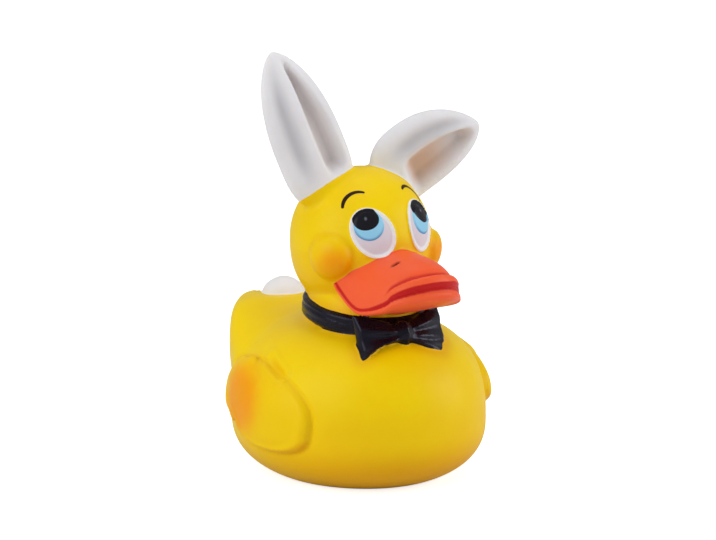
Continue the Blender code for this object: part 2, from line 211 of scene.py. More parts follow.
class DuckCast(bpy.types.PropertyGroup):
    voxel: length("Voxel", "Size of the skin's faces", 0.48)
    vent_diameter: length("Vent diameter", "Width of the hole in the base", 3.0)
    vent_behind: length("Vent behind", "Vent behind the origin", 9.0)
    vent_depth: length("Vent depth", "How deep the vent's bore can be seen", 4.0)
    most_triangles: number("Most triangles", "Triangles kept in the skin", 190000)
    soften_steps: number("Soften steps", "Passes that soften the seams", 40)


class DuckStage(bpy.types.PropertyGroup):
    azimuth: degrees("Azimuth", "Direction that the camera looks from", -33.0)
    elevation: degrees("Elevation", "Camera height above the horizon", 11.0)
    distance: length("Distance", "Camera to the duck", 1000.0)
    lens: FloatProperty(name="Lens", description="Focal length in millimetres", default=179.6, min=1.0)
    target: FloatVectorProperty(name="Target", description="Point on the middle of the picture",
                                default=(1.1 * MM, -1.9 * MM, 56.6 * MM), size=3, subtype="TRANSLATION")


class Duck(bpy.types.PropertyGroup):
    body: PointerProperty(type=DuckBody, name="Body", description="Sizes of the body")
    head: PointerProperty(type=DuckHead, name="Head", description="Sizes of the head and bill")
    ears: PointerProperty(type=DuckEars, name="Ears", description="Sizes of the ears")
    bow: PointerProperty(type=DuckBow, name="Bow", description="Sizes of the neck band and bow")
    paint: PointerProperty(type=DuckPaint, name="Paint", description="Colours of the paints")
    cast: PointerProperty(type=DuckCast, name="Cast", description="How the skin is cast")
    stage: PointerProperty(type=DuckStage, name="Stage", description="Camera and floor")


def duck():
    return bpy.context.scene.duck


def back_height():
    return duck().body.widest_height + duck().body.back_rise


def rump():
    return duck().body.half_length - duck().body.ahead


def head_centre():
    return np.array((0.0, -duck().head.ahead, back_height() + duck().head.above_back))


# Directions and ramps

def unit(vector):
    return vector / np.linalg.norm(vector, axis=-1, keepdims=True)


def heading(bearing, elevation):
    """Unit vector at a bearing in degrees from straight ahead, positive to the duck's left."""
    b, e = np.radians(bearing), np.radians(elevation)
    return np.stack([np.sin(b) * np.cos(e), -np.cos(b) * np.cos(e), np.sin(e) + 0.0 * b], axis=-1)


def eased(value, low, high):
    """0 below low, 1 above high, with an eased ramp between."""
    t = np.clip((value - low) / (high - low), 0.0, 1.0)
    return t * t * (3.0 - 2.0 * t)


def bump(value, centre, half_span):
    """1 at centre, eased to 0 at half_span either side."""
    return eased(1.0 - np.abs(value - centre) / half_span, 0.0, 1.0)


def tangent_frame(bearing, elevation, side=1.0, tilt=0.0):
    """Outward, sideways and upward unit vectors on a ball; sideways points away from the duck's middle."""
    out = heading(side * bearing, elevation)
    across = side * unit(np.cross(UP, out))
    up = side * np.cross(out, across)
    turn = math.radians(tilt)
    return (out, across * math.cos(turn) - up * math.sin(turn), across * math.sin(turn) + up * math.cos(turn))


# Shapes of the body

BACK_FULLNESS, BELLY_FULLNESS = 2.7, 2.4
NECK_HALF_HEIGHT = 14.0 * MM

# The tail: depths below the back, powers of its curves, and ramps over its length and its width
TAIL_TOP_BELOW, TAIL_TIP_BELOW, TAIL_ROOT_DEPTH = 1.4 * MM, 3.0 * MM, 36.0 * MM
TAIL_TAPER, TAIL_ROOT_CLOSING, TAIL_UNDERSIDE_POWER, TAIL_TIP_BLUNTNESS = 0.75, 0.12, 1.5, 9
TAIL_TOP_FULLNESS, TAIL_TOP_FULL_RAMP, TAIL_UNDERSIDE_FULLNESS = 0.5, (0.2, 0.7), 0.35
TAIL_RIM_RAMP, TAIL_RIM_FALL, TAIL_RIM_FALL_RAMP = (0.45, 0.68), 0.6, (0.85, 1.0)
TAIL_SCOOP_ALONG, TAIL_SCOOP_ACROSS, TAIL_UPPER_RAMP = (0.80, 0.24), (0.0, 0.62), (0.0, 0.8)
TUFT_PROPORTIONS, TUFT_LUMPINESS = (1.0, 0.97, 0.75), 0.05
TUFT_BEHIND_RUMP, TUFT_BELOW_BACK = 1.0 * MM, 1.2 * MM

# The wings and their feathers, in degrees of bearing and elevation on the body
WING_NEAR = dict(bearing=88.5, elevation=13.5, drop=22.2)
WING_FAR = dict(bearing=84.0, elevation=20.0, drop=15.0)
WING_HALF_SPAN, WING_RISE, WING_SLANT, WING_DRAWN_UP = 31.0, 17.5, 9.0, 0.3
WING_FRONT_SLANT, FEATHER_EDGE = 0.5, 3.0
WING_FRONT_RAMP, WING_REAR_LIFT, WING_RIM, WING_RIM_PLACE = (-0.6, 0.5), 0.62, 0.22, (0.9, 0.12)
FEATHER_BEARING, FEATHER_ELEVATION, FEATHER_HALF_SPAN, FEATHER_HALF_RISE = 103.0, 17.0, 15.0, 16.5
FEATHER_LEAN, FEATHER_SCALLOPS, FEATHER_SCALLOP_DEPTH, FEATHER_STEP = 4.0, 7.0, 0.05, 0.5


def body(p):
    """A broad egg with a full back, cut flat at the base."""
    s = duck().body
    rho = np.hypot(p[:, 0], p[:, 1])
    plan = p[:, :2] / np.maximum(rho, TINY)[:, None]
    above = p[:, 2] > 0.0
    power = 2.0 / np.where(above, BACK_FULLNESS, BELLY_FULLNESS)
    spread, rise = rho**power, np.abs(p[:, 2]) ** power
    depth = s.widest_height / (1.0 - s.base_share**BELLY_FULLNESS) ** (1.0 / BELLY_FULLNESS)
    x = plan[:, 0] * spread * s.half_width
    y = plan[:, 1] * spread * s.half_length - s.ahead
    z = s.widest_height + rise * np.where(above, s.back_rise, -depth)
    return np.stack([x, y, np.maximum(z, 0.0)], axis=1)


def neck(p):
    reach = duck().bow.band_radius
    return band_centre() + p * np.array((reach, reach, NECK_HALF_HEIGHT))


def tail(p):
    """A broad wedge that carries the body's plan on to a blunt, lifted tip, scooped before its rim."""
    s = duck().body
    along = (p[:, 2] + 1.0) / 2.0
    ring = np.maximum(np.hypot(p[:, 0], p[:, 1]), TINY)
    closing = np.sqrt(1.0 - np.clip(1.0 - along / TAIL_ROOT_CLOSING, 0.0, 1.0) ** 2)
    width = s.tail_half_width * (1.0 - along**2) ** TAIL_TAPER * closing
    top, tip = back_height() - TAIL_TOP_BELOW, back_height() - TAIL_TIP_BELOW
    bottom = tip - TAIL_ROOT_DEPTH * (1.0 - along**TAIL_UNDERSIDE_POWER)
    blunt = along**TAIL_TIP_BLUNTNESS
    half = (top - bottom) / 2.0 * np.sqrt(1.0 - blunt) * closing
    middle = (top + bottom) / 2.0 + (tip - (top + tip) / 2.0) * blunt
    across, above = p[:, 0] / ring, p[:, 1] / ring
    top_fullness = TAIL_TOP_FULLNESS * eased(along, *TAIL_TOP_FULL_RAMP)
    full = 1.0 - np.where(above > 0.0, top_fullness, TAIL_UNDERSIDE_FULLNESS)
    across, above = np.sign(across) * np.abs(across) ** full, np.sign(above) * np.abs(above) ** full
    y = -s.ahead + along * (rump() + s.tail_reach + s.ahead)
    upper = eased(above, *TAIL_UPPER_RAMP)
    fall = 1.0 - TAIL_RIM_FALL * eased(along, *TAIL_RIM_FALL_RAMP)
    raised = s.tail_rim * eased(along, *TAIL_RIM_RAMP) * fall * upper
    scoop = s.tail_scoop * bump(along, *TAIL_SCOOP_ALONG) * bump(across, *TAIL_SCOOP_ACROSS) * upper
    return np.stack([across * width, y, middle + above * half + raised - scoop], axis=1)


def tuft(p):
    """The round rabbit's tail, a soft, slightly lumpy blob."""
    half = duck().body.tuft_size * np.array(TUFT_PROPORTIONS)
    lumps = 1.0 + TUFT_LUMPINESS * np.sin(3.0 * p[:, 0] + 1.0) * np.sin(4.0 * p[:, 1] + 0.6)
    centre = np.array((0.0, rump() + TUFT_BEHIND_RUMP, back_height() - TUFT_BELOW_BACK))
    return centre + p * half * lumps[:, None]


def on_body(bearing, elevation, lift):
    s = duck().body
    spot = body(heading(bearing, elevation))
    centre = np.array((0.0, -s.ahead, s.widest_height))
    return spot + unit(spot - centre) * lift[:, None]


def pad_profile(height, edge=2.0):
    """Steep at the margin and nearly flat on top; below the skin it goes straight down."""
    return np.where(height > 0.0, np.sqrt(np.abs(height)), edge * height)


def wing(p, side):
    """A leaf-shaped pad on the body, broad in front and drawn up towards the tail, with a raised edge."""
    place = WING_NEAR if side < 0.0 else WING_FAR
    drawn = 1.0 - WING_DRAWN_UP * eased(p[:, 0], 0.0, 1.0)
    bearing = side * (place["bearing"] + p[:, 0] * WING_HALF_SPAN)
    rise = np.where(p[:, 1] > 0.0, WING_RISE, place["drop"])
    elevation = place["elevation"] + p[:, 0] * WING_SLANT + p[:, 1] * drawn * rise
    low_front = eased(-p[:, 1] - WING_FRONT_SLANT * p[:, 0], *WING_FRONT_RAMP)
    rim = WING_RIM * bump(np.hypot(p[:, 0], p[:, 1]), *WING_RIM_PLACE) * low_front * (p[:, 2] > 0)
    lift = pad_profile(p[:, 2]) * (WING_REAR_LIFT + (1.0 - WING_REAR_LIFT) * low_front) + rim
    return on_body(bearing, elevation, lift * duck().body.wing_relief)


def feather(p, side):
    """The overlapping feather at the wing's rear, scalloped along its lower edge."""
    scallop = 1.0 + FEATHER_SCALLOP_DEPTH * np.cos(FEATHER_SCALLOPS * np.arctan2(p[:, 1], p[:, 0]))
    bearing = side * (FEATHER_BEARING + p[:, 0] * FEATHER_HALF_SPAN * scallop - p[:, 1] * FEATHER_LEAN)
    elevation = FEATHER_ELEVATION + p[:, 1] * FEATHER_HALF_RISE * scallop
    lift = pad_profile(p[:, 2], FEATHER_EDGE) + FEATHER_STEP * (p[:, 2] > 0.0)
    return on_body(bearing, elevation, lift * duck().body.feather_relief)


# Shapes of the head

JAW_SWELL, JAW_RAMP = 0.08, (0.0, 0.8)
CHEEK_LEFT, CHEEK_RIGHT = (61.5, -13.0), (58.0, -8.5)


def head(p):
    """A ball that is fuller towards the jaw."""
    swell = 1.0 + JAW_SWELL * eased(-p[:, 2], *JAW_RAMP)
    return head_centre() + p * duck().head.radius * swell[:, None]


def pad_on_head(p, facing, half_width, half_height, relief):
    """A dome that stands out of the head by relief."""
    out, across, up = facing
    radius = duck().head.radius
    flat = p[:, :1] * half_width * across + p[:, 1:2] * half_height * up
    lift = p[:, 2] * np.where(p[:, 2] > 0.0, relief, half_width)
    return head_centre() + unit(out * radius + flat) * (radius + lift)[:, None]


def cheek(p, side):
    """A round cheek; the two sit at slightly different heights."""
    s = duck().head
    bearing, elevation = CHEEK_LEFT if side > 0.0 else CHEEK_RIGHT
    facing = tangent_frame(bearing, elevation, side)
    return pad_on_head(p, facing, s.cheek_radius, s.cheek_radius, s.cheek_relief)


def eye_frame(eye):
    return tangent_frame(eye["bearing"], eye["elevation"], eye["side"], eye["tilt"])


def eye_pad(p, eye):
    half_width, half_height = (size * MM for size in eye["half"])
    lift = np.where(p[:, 2] > 0.0, np.sqrt(np.abs(p[:, 2])), p[:, 2])
    flat = np.stack([p[:, 0], p[:, 1], lift], axis=1)
    return pad_on_head(flat, eye_frame(eye), half_width, half_height, duck().head.eye_relief)


# Shapes of the bill

# Plan of both plates, and the slit between them: its arch in front and its rise at the corners, in degrees
BILL_AHEAD, BILL_ROOT_REACH, BILL_SQUARENESS, LIP_BLUNTNESS = 14.2 * MM, 8.0 * MM, 2.5, 22.0
SLIT_BELOW, SLIT_ARCH, SLIT_ARCH_SPAN, SLIT_ARCH_POWER = 12.4 * MM, 3.3 * MM, 67.0, 0.75
CORNER_RISE, CORNER_RAMP = 6.2 * MM, (58.0, 112.0)

# The upper plate: pillow, crease and rolled rim, as shares of the way out
UPPER_SPREAD, UPPER_ROOT_BELOW, UPPER_SLOPE_POWER, UPPER_TOP_RAMP = 0.7 * MM, 0.8 * MM, 2.5, (0.0, 0.3)
CORNER_THICKNESS, THICKNESS_POWER = 0.5, 1.3
PILLOW_EDGE, PILLOW_BLUNTNESS, PILLOW_ARCH_START, PILLOW_ARCH_SPAN = 0.83, 6, 0.8, 1.6
ROLL_INNER, ROLL_HALF_SPAN = 0.65, 0.075

# The lower plate
LOWER_SET_BACK, LOWER_SPREAD, LOWER_FLOOR_BELOW = 0.4 * MM, 2.0 * MM, 17.2 * MM
LOWER_THINNING, LOWER_HANG_POWER, LOWER_CREST, LOWER_CREST_POWER = 0.52, 1.7, 0.35, 6


def bill_margin(bearing, set_back=0.0, out_at_sides=0.0):
    """Radius of the bill's outline at a bearing, the arch there and the slit's height.

    The arch is 1 in front and -1 at the sides.
    """
    s = duck().head
    wave = np.cos(np.clip(np.degrees(bearing) / SLIT_ARCH_SPAN, -1.0, 1.0) * np.pi)
    arch = np.sign(wave) * np.abs(wave) ** SLIT_ARCH_POWER
    reach = np.where(np.abs(bearing) < np.pi / 2.0, s.bill_reach - set_back, BILL_ROOT_REACH)
    wide = (np.abs(np.sin(bearing)) / (s.bill_half_width - set_back)) ** BILL_SQUARENESS
    radius = (wide + (np.abs(np.cos(bearing)) / reach) ** BILL_SQUARENESS) ** (-1.0 / BILL_SQUARENESS)
    corner = CORNER_RISE * eased(np.abs(np.degrees(bearing)), *CORNER_RAMP)
    slit = head_centre()[2] - SLIT_BELOW + SLIT_ARCH * arch + corner
    return radius + out_at_sides * (1.0 - arch) / 2.0, arch, slit


def bill_plan(p, set_back, out_at_sides):
    """Plan position, share of the way to the margin, blunt half thickness, the arch and the slit's height."""
    bearing = np.arctan2(p[:, 0], -p[:, 1])
    radius, arch, slit = bill_margin(bearing, set_back, out_at_sides)
    share = np.hypot(p[:, 0], p[:, 1])
    x = np.sin(bearing) * radius * share
    y = -np.cos(bearing) * radius * share - duck().head.ahead - BILL_AHEAD
    blunt = np.sign(p[:, 2]) * np.sqrt(np.clip(1.0 - share**LIP_BLUNTNESS, 0.0, 1.0)) / 2.0
    return x, y, share, blunt, arch, slit


def upper_thickness(arch):
    """The upper lip is full in front and thins towards the corners."""
    fullness = CORNER_THICKNESS + (1.0 - CORNER_THICKNESS) * np.maximum(arch, 0.0) ** THICKNESS_POWER
    return duck().head.lip_thickness * fullness


def pillow_edge(arch):
    """Share of the way out at which the pillow ends, and how much rim there is outside it."""
    front = np.clip((arch + PILLOW_ARCH_START) / PILLOW_ARCH_SPAN, 0.0, 1.0)
    return 1.0 - (1.0 - PILLOW_EDGE) * front, front


def upper_bill(p):
    """An arched pillow that rises to the root on the face, with a crease and a rolled rim in front."""
    s = duck().head
    x, y, share, blunt, arch, slit = bill_plan(p, 0.0, UPPER_SPREAD)
    thick = upper_thickness(arch)
    lip = slit - s.lip_overlap / 2.0 + thick / 2.0
    root = head_centre()[2] - UPPER_ROOT_BELOW - s.lip_thickness / 2.0
    top = eased(p[:, 2], *UPPER_TOP_RAMP)
    edge, front = pillow_edge(arch)
    slope = (root - s.pillow_height - lip) * (1.0 - share**UPPER_SLOPE_POWER) * (p[:, 2] > 0.0)
    pillow = s.pillow_height * np.sqrt(np.clip(1.0 - (share / edge) ** PILLOW_BLUNTNESS, 0.0, 1.0))
    roll = s.rim_roll * bump(share, ROLL_INNER + (1.0 - ROLL_INNER) * edge, ROLL_HALF_SPAN) * front
    z = lip + slope + blunt * thick + top * (roll + pillow)
    return np.stack([x, y, z], axis=1)


def lower_bill(p):
    """The lower plate, joined to the upper one behind the slit, with a crest along its edge."""
    s = duck().head
    x, y, share, blunt, arch, slit = bill_plan(p, LOWER_SET_BACK, LOWER_SPREAD)
    thickness = s.lower_lip_thickness * (1.0 - LOWER_THINNING * (1.0 - arch) / 2.0)
    lip = slit + s.lip_overlap / 2.0 - thickness / 2.0
    floor = head_centre()[2] - LOWER_FLOOR_BELOW
    below = p[:, 2] < 0.0
    hung = (floor - lip) * (1.0 - share**LOWER_HANG_POWER) * below
    crest = np.where(below, 1.0 - LOWER_CREST * share**LOWER_CREST_POWER, 1.0)
    return np.stack([x, y, lip + hung + blunt * thickness * crest], axis=1)


# Shapes of the ears

# Where the ears root on the head, their outline's powers, and the plane that ends the upright ear's white
EAR_SUNK, EAR_WIDEST, EAR_SPOT = 7.0 * MM, 0.38, (89.0, 53.0)
EAR_TIP_POWER, EAR_TIP_ROOT, EAR_ROOT_POWER = 2.25, 1.5, 3.2
EAR_LINE_SPOT, EAR_LINE_NORMAL = (-16.4, -1.1, 78.2), (-0.373, 0.433, 0.821)

# Each ear's directions, then its hollow: ramps at root and tip, the middle across at the tip and its shift
# towards the root, and the half span with how much and from where it narrows
EARS = {
    "upright": dict(side=-1.0, lean=(-0.34, 0.15, 0.93), facing=(0.0, -1.0, 0.0), root_ramp=(0.17, 0.27),
                    tip_ramp=(0.04, 0.22), middle=0.31, shift=0.08, span=0.40, narrows=0.5, narrows_from=0.4),
    "drooping": dict(side=1.0, lean=(0.82, -0.26, 0.51), facing=(-0.38, -0.86, -0.34),
                     root_ramp=(0.24, 0.36), tip_ramp=(0.06, 0.2), middle=0.16, shift=0.12, span=0.60,
                     narrows=0.35, narrows_from=0.5),
}
HOLLOW_EDGE_RAMP, HOLLOW_FRONT_RAMP = (0.0, 0.75), (0.0, 0.35)
VALLEY_PLACE, VALLEY_ROOT_RAMP, VALLEY_TIP_RAMP = (-0.50, 0.36), (0.1, 0.4), (0.0, 0.35)


def ear_sizes(which):
    """Root, axis, side and front directions, length, half width and curl of one ear."""
    s, shape = duck().ears, EARS[which]
    if which == "upright":
        sizes = (s.upright_length, s.upright_half_width, 0.0)
    else:
        sizes = (s.drooping_length, s.drooping_half_width, s.drooping_curl)
    axis, facing = unit(np.array(shape["lean"])), np.array(shape["facing"])
    front = unit(facing - np.dot(facing, axis) * axis)
    spot = heading(shape["side"] * EAR_SPOT[0], EAR_SPOT[1])
    root = head_centre() + spot * duck().head.radius - axis * EAR_SUNK
    return (root, axis, np.cross(axis, front), front) + sizes


def ear_hollow(across, along, which):
    """How deep the hollow and the shallow valley are, each from 0 to 1."""
    shape = EARS[which]
    ends = eased(along, *shape["root_ramp"]) * eased(1.0 - along, *shape["tip_ramp"])
    middle = shape["middle"] + shape["shift"] * (1.0 - along)
    span = shape["span"] * (1.0 - shape["narrows"] * eased(along, shape["narrows_from"], 1.0))
    deep = eased(1.0 - np.abs(across - middle) / span, *HOLLOW_EDGE_RAMP) * ends
    shallow = bump(across, *VALLEY_PLACE) * eased(along, *VALLEY_ROOT_RAMP)
    shallow = shallow * eased(1.0 - along, *VALLEY_TIP_RAMP)
    return deep, shallow


def ear_outline(share):
    """Width of an ear's tip half, as a share, at a share of the way to the tip."""
    return (1.0 - share**EAR_TIP_POWER) ** (1.0 / EAR_TIP_ROOT)


def ear(p, which):
    """A pointed leaf, full width to its root, with a ridge between its hollow and its valley."""
    s = duck().ears
    root, axis, side, front, size, half_width, curl = ear_sizes(which)
    tipward = p[:, 2] > 0.0
    share = np.abs(p[:, 2])
    outline = np.where(tipward, ear_outline(share), np.sqrt(1.0 - share**EAR_ROOT_POWER))
    along = np.where(tipward, EAR_WIDEST + share * (1.0 - EAR_WIDEST), EAR_WIDEST * (1.0 - share))
    ring = np.maximum(np.hypot(p[:, 0], p[:, 1]), TINY)
    across, forward = p[:, 0] / ring, p[:, 1] / ring
    deep, shallow = ear_hollow(across, along, which)
    open_side = np.where(forward > 0.0, eased(forward, *HOLLOW_FRONT_RAMP), 0.0)
    depth = forward * outline * s.half_thickness - open_side * (deep * s.hollow + shallow * s.valley)
    sideways = across * outline * half_width - 4.0 * curl * along * (1.0 - along)
    return root + axis * (along * size)[:, None] + side * sideways[:, None] + front * depth[:, None]


# Shapes of the neck band and the bow

BAND_AHEAD, BAND_ABOVE_BACK = 7.8 * MM, 2.1 * MM
KNOT_CLEAR, KNOT_ASIDE, KNOT_BELOW = 2.6 * MM, 1.4 * MM, 0.5 * MM
KNOT_HALF_SIZES, KNOT_PINCH = (2.7 * MM, 3.2 * MM, 3.5 * MM), 0.12
KNOT_FOLD_DEPTH, KNOT_FOLD_RATE, KNOT_FOLD_SLANT, KNOT_FOLD_RAMP = 0.22 * MM, 9.0, 0.6, (0.1, 0.5)

# How the two loops differ: reach, how late the lower edge widens, where the pleats start, then how far
# the low end is lifted, brought forward and pulled towards the duck's right, and the whole end with it
RIGHT_LOOP = dict(reach=0.87, low_power=1.9, phase=1.9, lift=3.6, ahead=2.6, pull=1.0, end_pull=0.0)
LEFT_LOOP = dict(reach=1.0, low_power=1.0, phase=0.4, lift=3.2, ahead=4.4, pull=4.8, end_pull=0.5)

# Both loops: widening along them, droop, sweep, lean in degrees, squareness and backing
LOOP_WAIST, LOOP_WIDENS_OVER, LOOP_TOP_POWER = 0.12, 0.85, 0.8
LOOP_DROOP, LOOP_SWEEP, LOOP_LEAN, LOOP_LOW_RAMP = 1.8 * MM, 3.6 * MM, 21.0, (0.1, 1.0)
LOOP_SQUARENESS, LOOP_FLARE, LOOP_MIDDLE_THICKNESS = 4.0, 0.05, 0.8
LOOP_BACKING, LOOP_BACKING_TAPER = 6.0 * MM, 0.8
PLEAT_WAIST_RAMP, PLEAT_FADE, PLEAT_FADE_RAMP = (0.12, 0.3), 0.6, (0.5, 1.0)
PLEAT_MARGIN_RAMP, PLEAT_FRONT_RAMP = (0.0, 0.25), (0.1, 0.6)


def band_centre():
    return np.array((0.0, -BAND_AHEAD, back_height() + BAND_ABOVE_BACK))


def knot_centre():
    s = duck().bow
    reach = s.band_radius + s.band_half_thickness + KNOT_CLEAR
    aside = np.array((-KNOT_ASIDE, 0.0, -KNOT_BELOW))
    return band_centre() + aside + np.array((0.0, -math.cos(s.band_tilt), -math.sin(s.band_tilt))) * reach


def bow(p):
    """Both loops of the bow: high at the ends, pinched under the knot, swept back and pleated."""
    s = duck().bow
    p = p[:, [2, 0, 1]]
    right = p[:, 0] < 0.0

    def differing(name):
        return np.where(right, RIGHT_LOOP[name], LEFT_LOOP[name])

    out = np.abs(p[:, 0])
    power = np.where(p[:, 2] > 0.0, LOOP_TOP_POWER, differing("low_power"))
    spread = np.clip((out - LOOP_WAIST) / LOOP_WIDENS_OVER, 0.0, 1.0) ** power
    height = s.waist_half_height + (s.end_half_height - s.waist_half_height) * spread
    ring = np.sqrt(np.maximum(1.0 - out**2, TINY))
    square = np.minimum(1.0, LOOP_SQUARENESS * ring) / ring
    across = p[:, 2] * square
    fan = np.cos(np.pi * s.pleats * across + differing("phase")) * eased(out, *PLEAT_WAIST_RAMP)
    fan = fan * (1.0 - PLEAT_FADE * eased(out, *PLEAT_FADE_RAMP))
    fan = fan * eased(1.0 - np.abs(across), *PLEAT_MARGIN_RAMP)
    front = eased(-p[:, 1] * square, *PLEAT_FRONT_RAMP)
    low = out * eased(-across, *LOOP_LOW_RAMP)
    x = p[:, 0] * s.half_width * (1.0 + LOOP_FLARE * across**2) * differing("reach")
    x = x - differing("pull") * MM * low - differing("end_pull") * MM * out
    z = across * height - out * LOOP_DROOP + differing("lift") * MM * low
    backing = LOOP_BACKING * (1.0 - LOOP_BACKING_TAPER * out)
    thickness = s.half_thickness * (LOOP_MIDDLE_THICKNESS + (1.0 - LOOP_MIDDLE_THICKNESS) * np.abs(across))
    depth = p[:, 1] * square * np.where(p[:, 1] > 0.0, backing, thickness)
    y = depth + out**2 * LOOP_SWEEP + z * math.tan(math.radians(LOOP_LEAN))
    y = y - fan * front * s.pleat_depth - differing("ahead") * MM * low
    return knot_centre() + np.stack([x, y, z], axis=1)


def knot(p):
    """A small barrel with a slight waist and upright folds in front."""
    wave = np.cos(KNOT_FOLD_RATE * p[:, 0] + KNOT_FOLD_SLANT * p[:, 2])
    folds = KNOT_FOLD_DEPTH * wave * eased(-p[:, 1], *KNOT_FOLD_RAMP)
    shape = p * np.array(KNOT_HALF_SIZES)
    shape[:, 0] *= 1.0 - KNOT_PINCH * (1.0 - p[:, 2] ** 2)
    shape[:, 1] -= folds
    return knot_centre() + shape


# Meshes

def link(piece, collection=None):
    (collection or bpy.context.scene.collection).objects.link(piece)
    return piece


def regions():
    """The hidden collection that holds the regions until the skin is cast."""
    found = bpy.data.collections.get(REGIONS)
    if found is None:
        found = bpy.data.collections.new(REGIONS)
        bpy.context.scene.collection.children.link(found)
    return found


def region(name, segments, rings, shape):
    """One overlapping region: a fine ball whose points are moved into shape."""
    form = bmesh.new()
    bmesh.ops.create_uvsphere(form, u_segments=segments, v_segments=rings, radius=1.0)
    points = np.array([vertex.co for vertex in form.verts])
    for vertex, place in zip(form.verts, shape(points)):
        vertex.co = place
    bmesh.ops.recalc_face_normals(form, faces=form.faces)
    mesh = bpy.data.meshes.new(name)
    form.to_mesh(mesh)
    form.free()
    return link(bpy.data.objects.new(name, mesh), regions())


def points_of(mesh):
    flat = np.empty(len(mesh.vertices) * 3)
    mesh.vertices.foreach_get("co", flat)
    return flat.reshape(-1, 3)


def normals_of(mesh):
    flat = np.empty(len(mesh.vertices) * 3)
    mesh.vertices.foreach_get("normal", flat)
    return flat.reshape(-1, 3)


def edges_of(mesh):
    flat = np.empty(len(mesh.edges) * 2, np.int32)
    mesh.edges.foreach_get("vertices", flat)
    return flat.reshape(-1, 2)


def move_points(mesh, points):
    mesh.vertices.foreach_set("co", points.ravel())
    mesh.update()


def neighbour_mean(values, edges, count):
    """Each vertex's mean over its neighbours."""
    total = np.zeros_like(values)
    for column in range(values.shape[1]):
        total[:, column] = (
            np.bincount(edges[:, 0], values[edges[:, 1], column], len(values))
            + np.bincount(edges[:, 1], values[edges[:, 0], column], len(values))
        )
    return total / count[:, None]


def relaxed(values, edges, weight, steps):
    """Values drawn towards their neighbours' mean, by weight, this many times."""
    count = np.bincount(edges.ravel(), minlength=len(values)).astype(float)
    for _ in range(steps):
        values = values + (neighbour_mean(values, edges, count) - values) * weight
    return values


def evaluated_mesh(piece):
    graph = bpy.context.evaluated_depsgraph_get()
    return bpy.data.meshes.new_from_object(piece.evaluated_get(graph), depsgraph=graph)


def remeshed(name, pieces, voxel):
    """One closed mesh round the outside of overlapping pieces."""
    form = bmesh.new()
    for piece in pieces:
        form.from_mesh(piece.data)
    joined = bpy.data.objects.new(name, bpy.data.meshes.new(name))
    form.to_mesh(joined.data)
    form.free()
    link(joined)
    step = joined.modifiers.new("Cast", "REMESH")
    step.mode = "VOXEL"
    step.voxel_size = voxel
    mesh = evaluated_mesh(joined)
    bpy.data.objects.remove(joined)
    return mesh


def thinned(mesh, plain, most):
    """The mesh with fewer triangles on its plain parts, and every triangle kept elsewhere."""
    piece = link(bpy.data.objects.new("thinned", mesh))
    piece.vertex_groups.new(name="plain").add([int(index) for index in np.flatnonzero(plain)], 1.0, "REPLACE")
    step = piece.modifiers.new("Thin", "DECIMATE")
    step.ratio = min(1.0, most / sum(len(face.vertices) - 2 for face in mesh.polygons))
    step.vertex_group = "plain"
    found = evaluated_mesh(piece)
    bpy.data.objects.remove(piece)
    return found


def surface_of(mesh):
    """A tree that finds the nearest spot on a mesh's surface."""
    return BVHTree.FromPolygons([v.co for v in mesh.vertices], [f.vertices for f in mesh.polygons])


def distances(points, piece, limit):
    """Distance from each point to the piece's surface, no more than limit."""
    surface, corners = surface_of(piece.data), points_of(piece.data)
    low, high = corners.min(axis=0) - limit, corners.max(axis=0) + limit
    found = np.full(len(points), limit)
    for index in np.flatnonzero(((points > low) & (points < high)).all(axis=1)):
        hit = surface.find_nearest(points[index], limit)
        if hit[3] is not None:
            found[index] = hit[3]
    return found


# Paint and relief, measured on the skin; distances are in millimetres and ramps in shares unless it says so

SEAM_REACH, SEAM_FULL_RADIUS, SEAM_POWER, SEAM_PULL = 1.5, 2.6 * MM, 1.3, 0.6

# A field's value far from its paint, and how deep in the head an eye's and a cheek's paint may lie
FAR, EYE_DEPTH, CHEEK_DEPTH = 20.0, 8.0, 12.0
GLINT_OFFSET, GLINT_HALF = (0.1, 0.2), (0.35 * MM, 0.45 * MM)
BROW_THINNEST, BROW_SWELL, BROW_TAPER_START, BROW_TAPER_SPAN = 0.55, 0.55, 0.15, 0.8
NOSTRIL_PLACE, NOSTRIL_HALF, NOSTRIL_TURN = (5.9 * MM, -31.4 * MM), (1.15 * MM, 0.6 * MM), 18.0

# The bill's groove over the slit and crease round the pillow, where darker red is painted as shade, and the
# dents of the slit and the lip
GROOVE_LOW, GROOVE_HIGH, GROOVE_FRONT_RISE, GROOVE_OUT_RAMP = (-0.5, 0.0), (0.25, 0.9), 1.9, (0.55, 0.85)
CREASE_OUTSIDE, CREASE_HALF_SPAN, CREASE_HEIGHT_RAMP, CREASE_FRONT_RAMP = 0.02, 0.05, (0.4, 1.0), (0.1, 0.7)
SLIT_HALF_SPAN, SLIT_OUT_RAMP, SLIT_ARCH_RAMP = 0.7, (0.8, 0.93), (-1.05, -0.6)
LIP_DENT, LIP_DENT_PLACE, LIP_DENT_OUT_RAMP = 0.7, (1.1, 1.3), (0.85, 0.96)

# The ears' paint: how far it reaches behind an ear's middle, how strong the beige is, and how strong the grey
# painted shade is in the hollow
EAR_FRONT_RAMP, EAR_THINNEST, UPRIGHT_BEIGE, HOLLOW_SHADE = (-3.5, 0.0), 0.05, 0.22, 0.3
DROOPING_FADE, DROOPING_FADE_RAMP = 0.7, (0.45, 0.8)

# Airbrushed orange: bearing and elevation, spread, fall and strength on cheek and wing
BLUSH_CHEEK, BLUSH_CHEEK_RADIUS, BLUSH_CHEEK_FALL = (52.5, -11.0), 6.8 * MM, 1.6
BLUSH_WING, BLUSH_WING_SPREAD, BLUSH_WING_STRENGTH, BLUSH_WING_TOP = (98.0, 12.0), 15.5, 1.25, 0.62

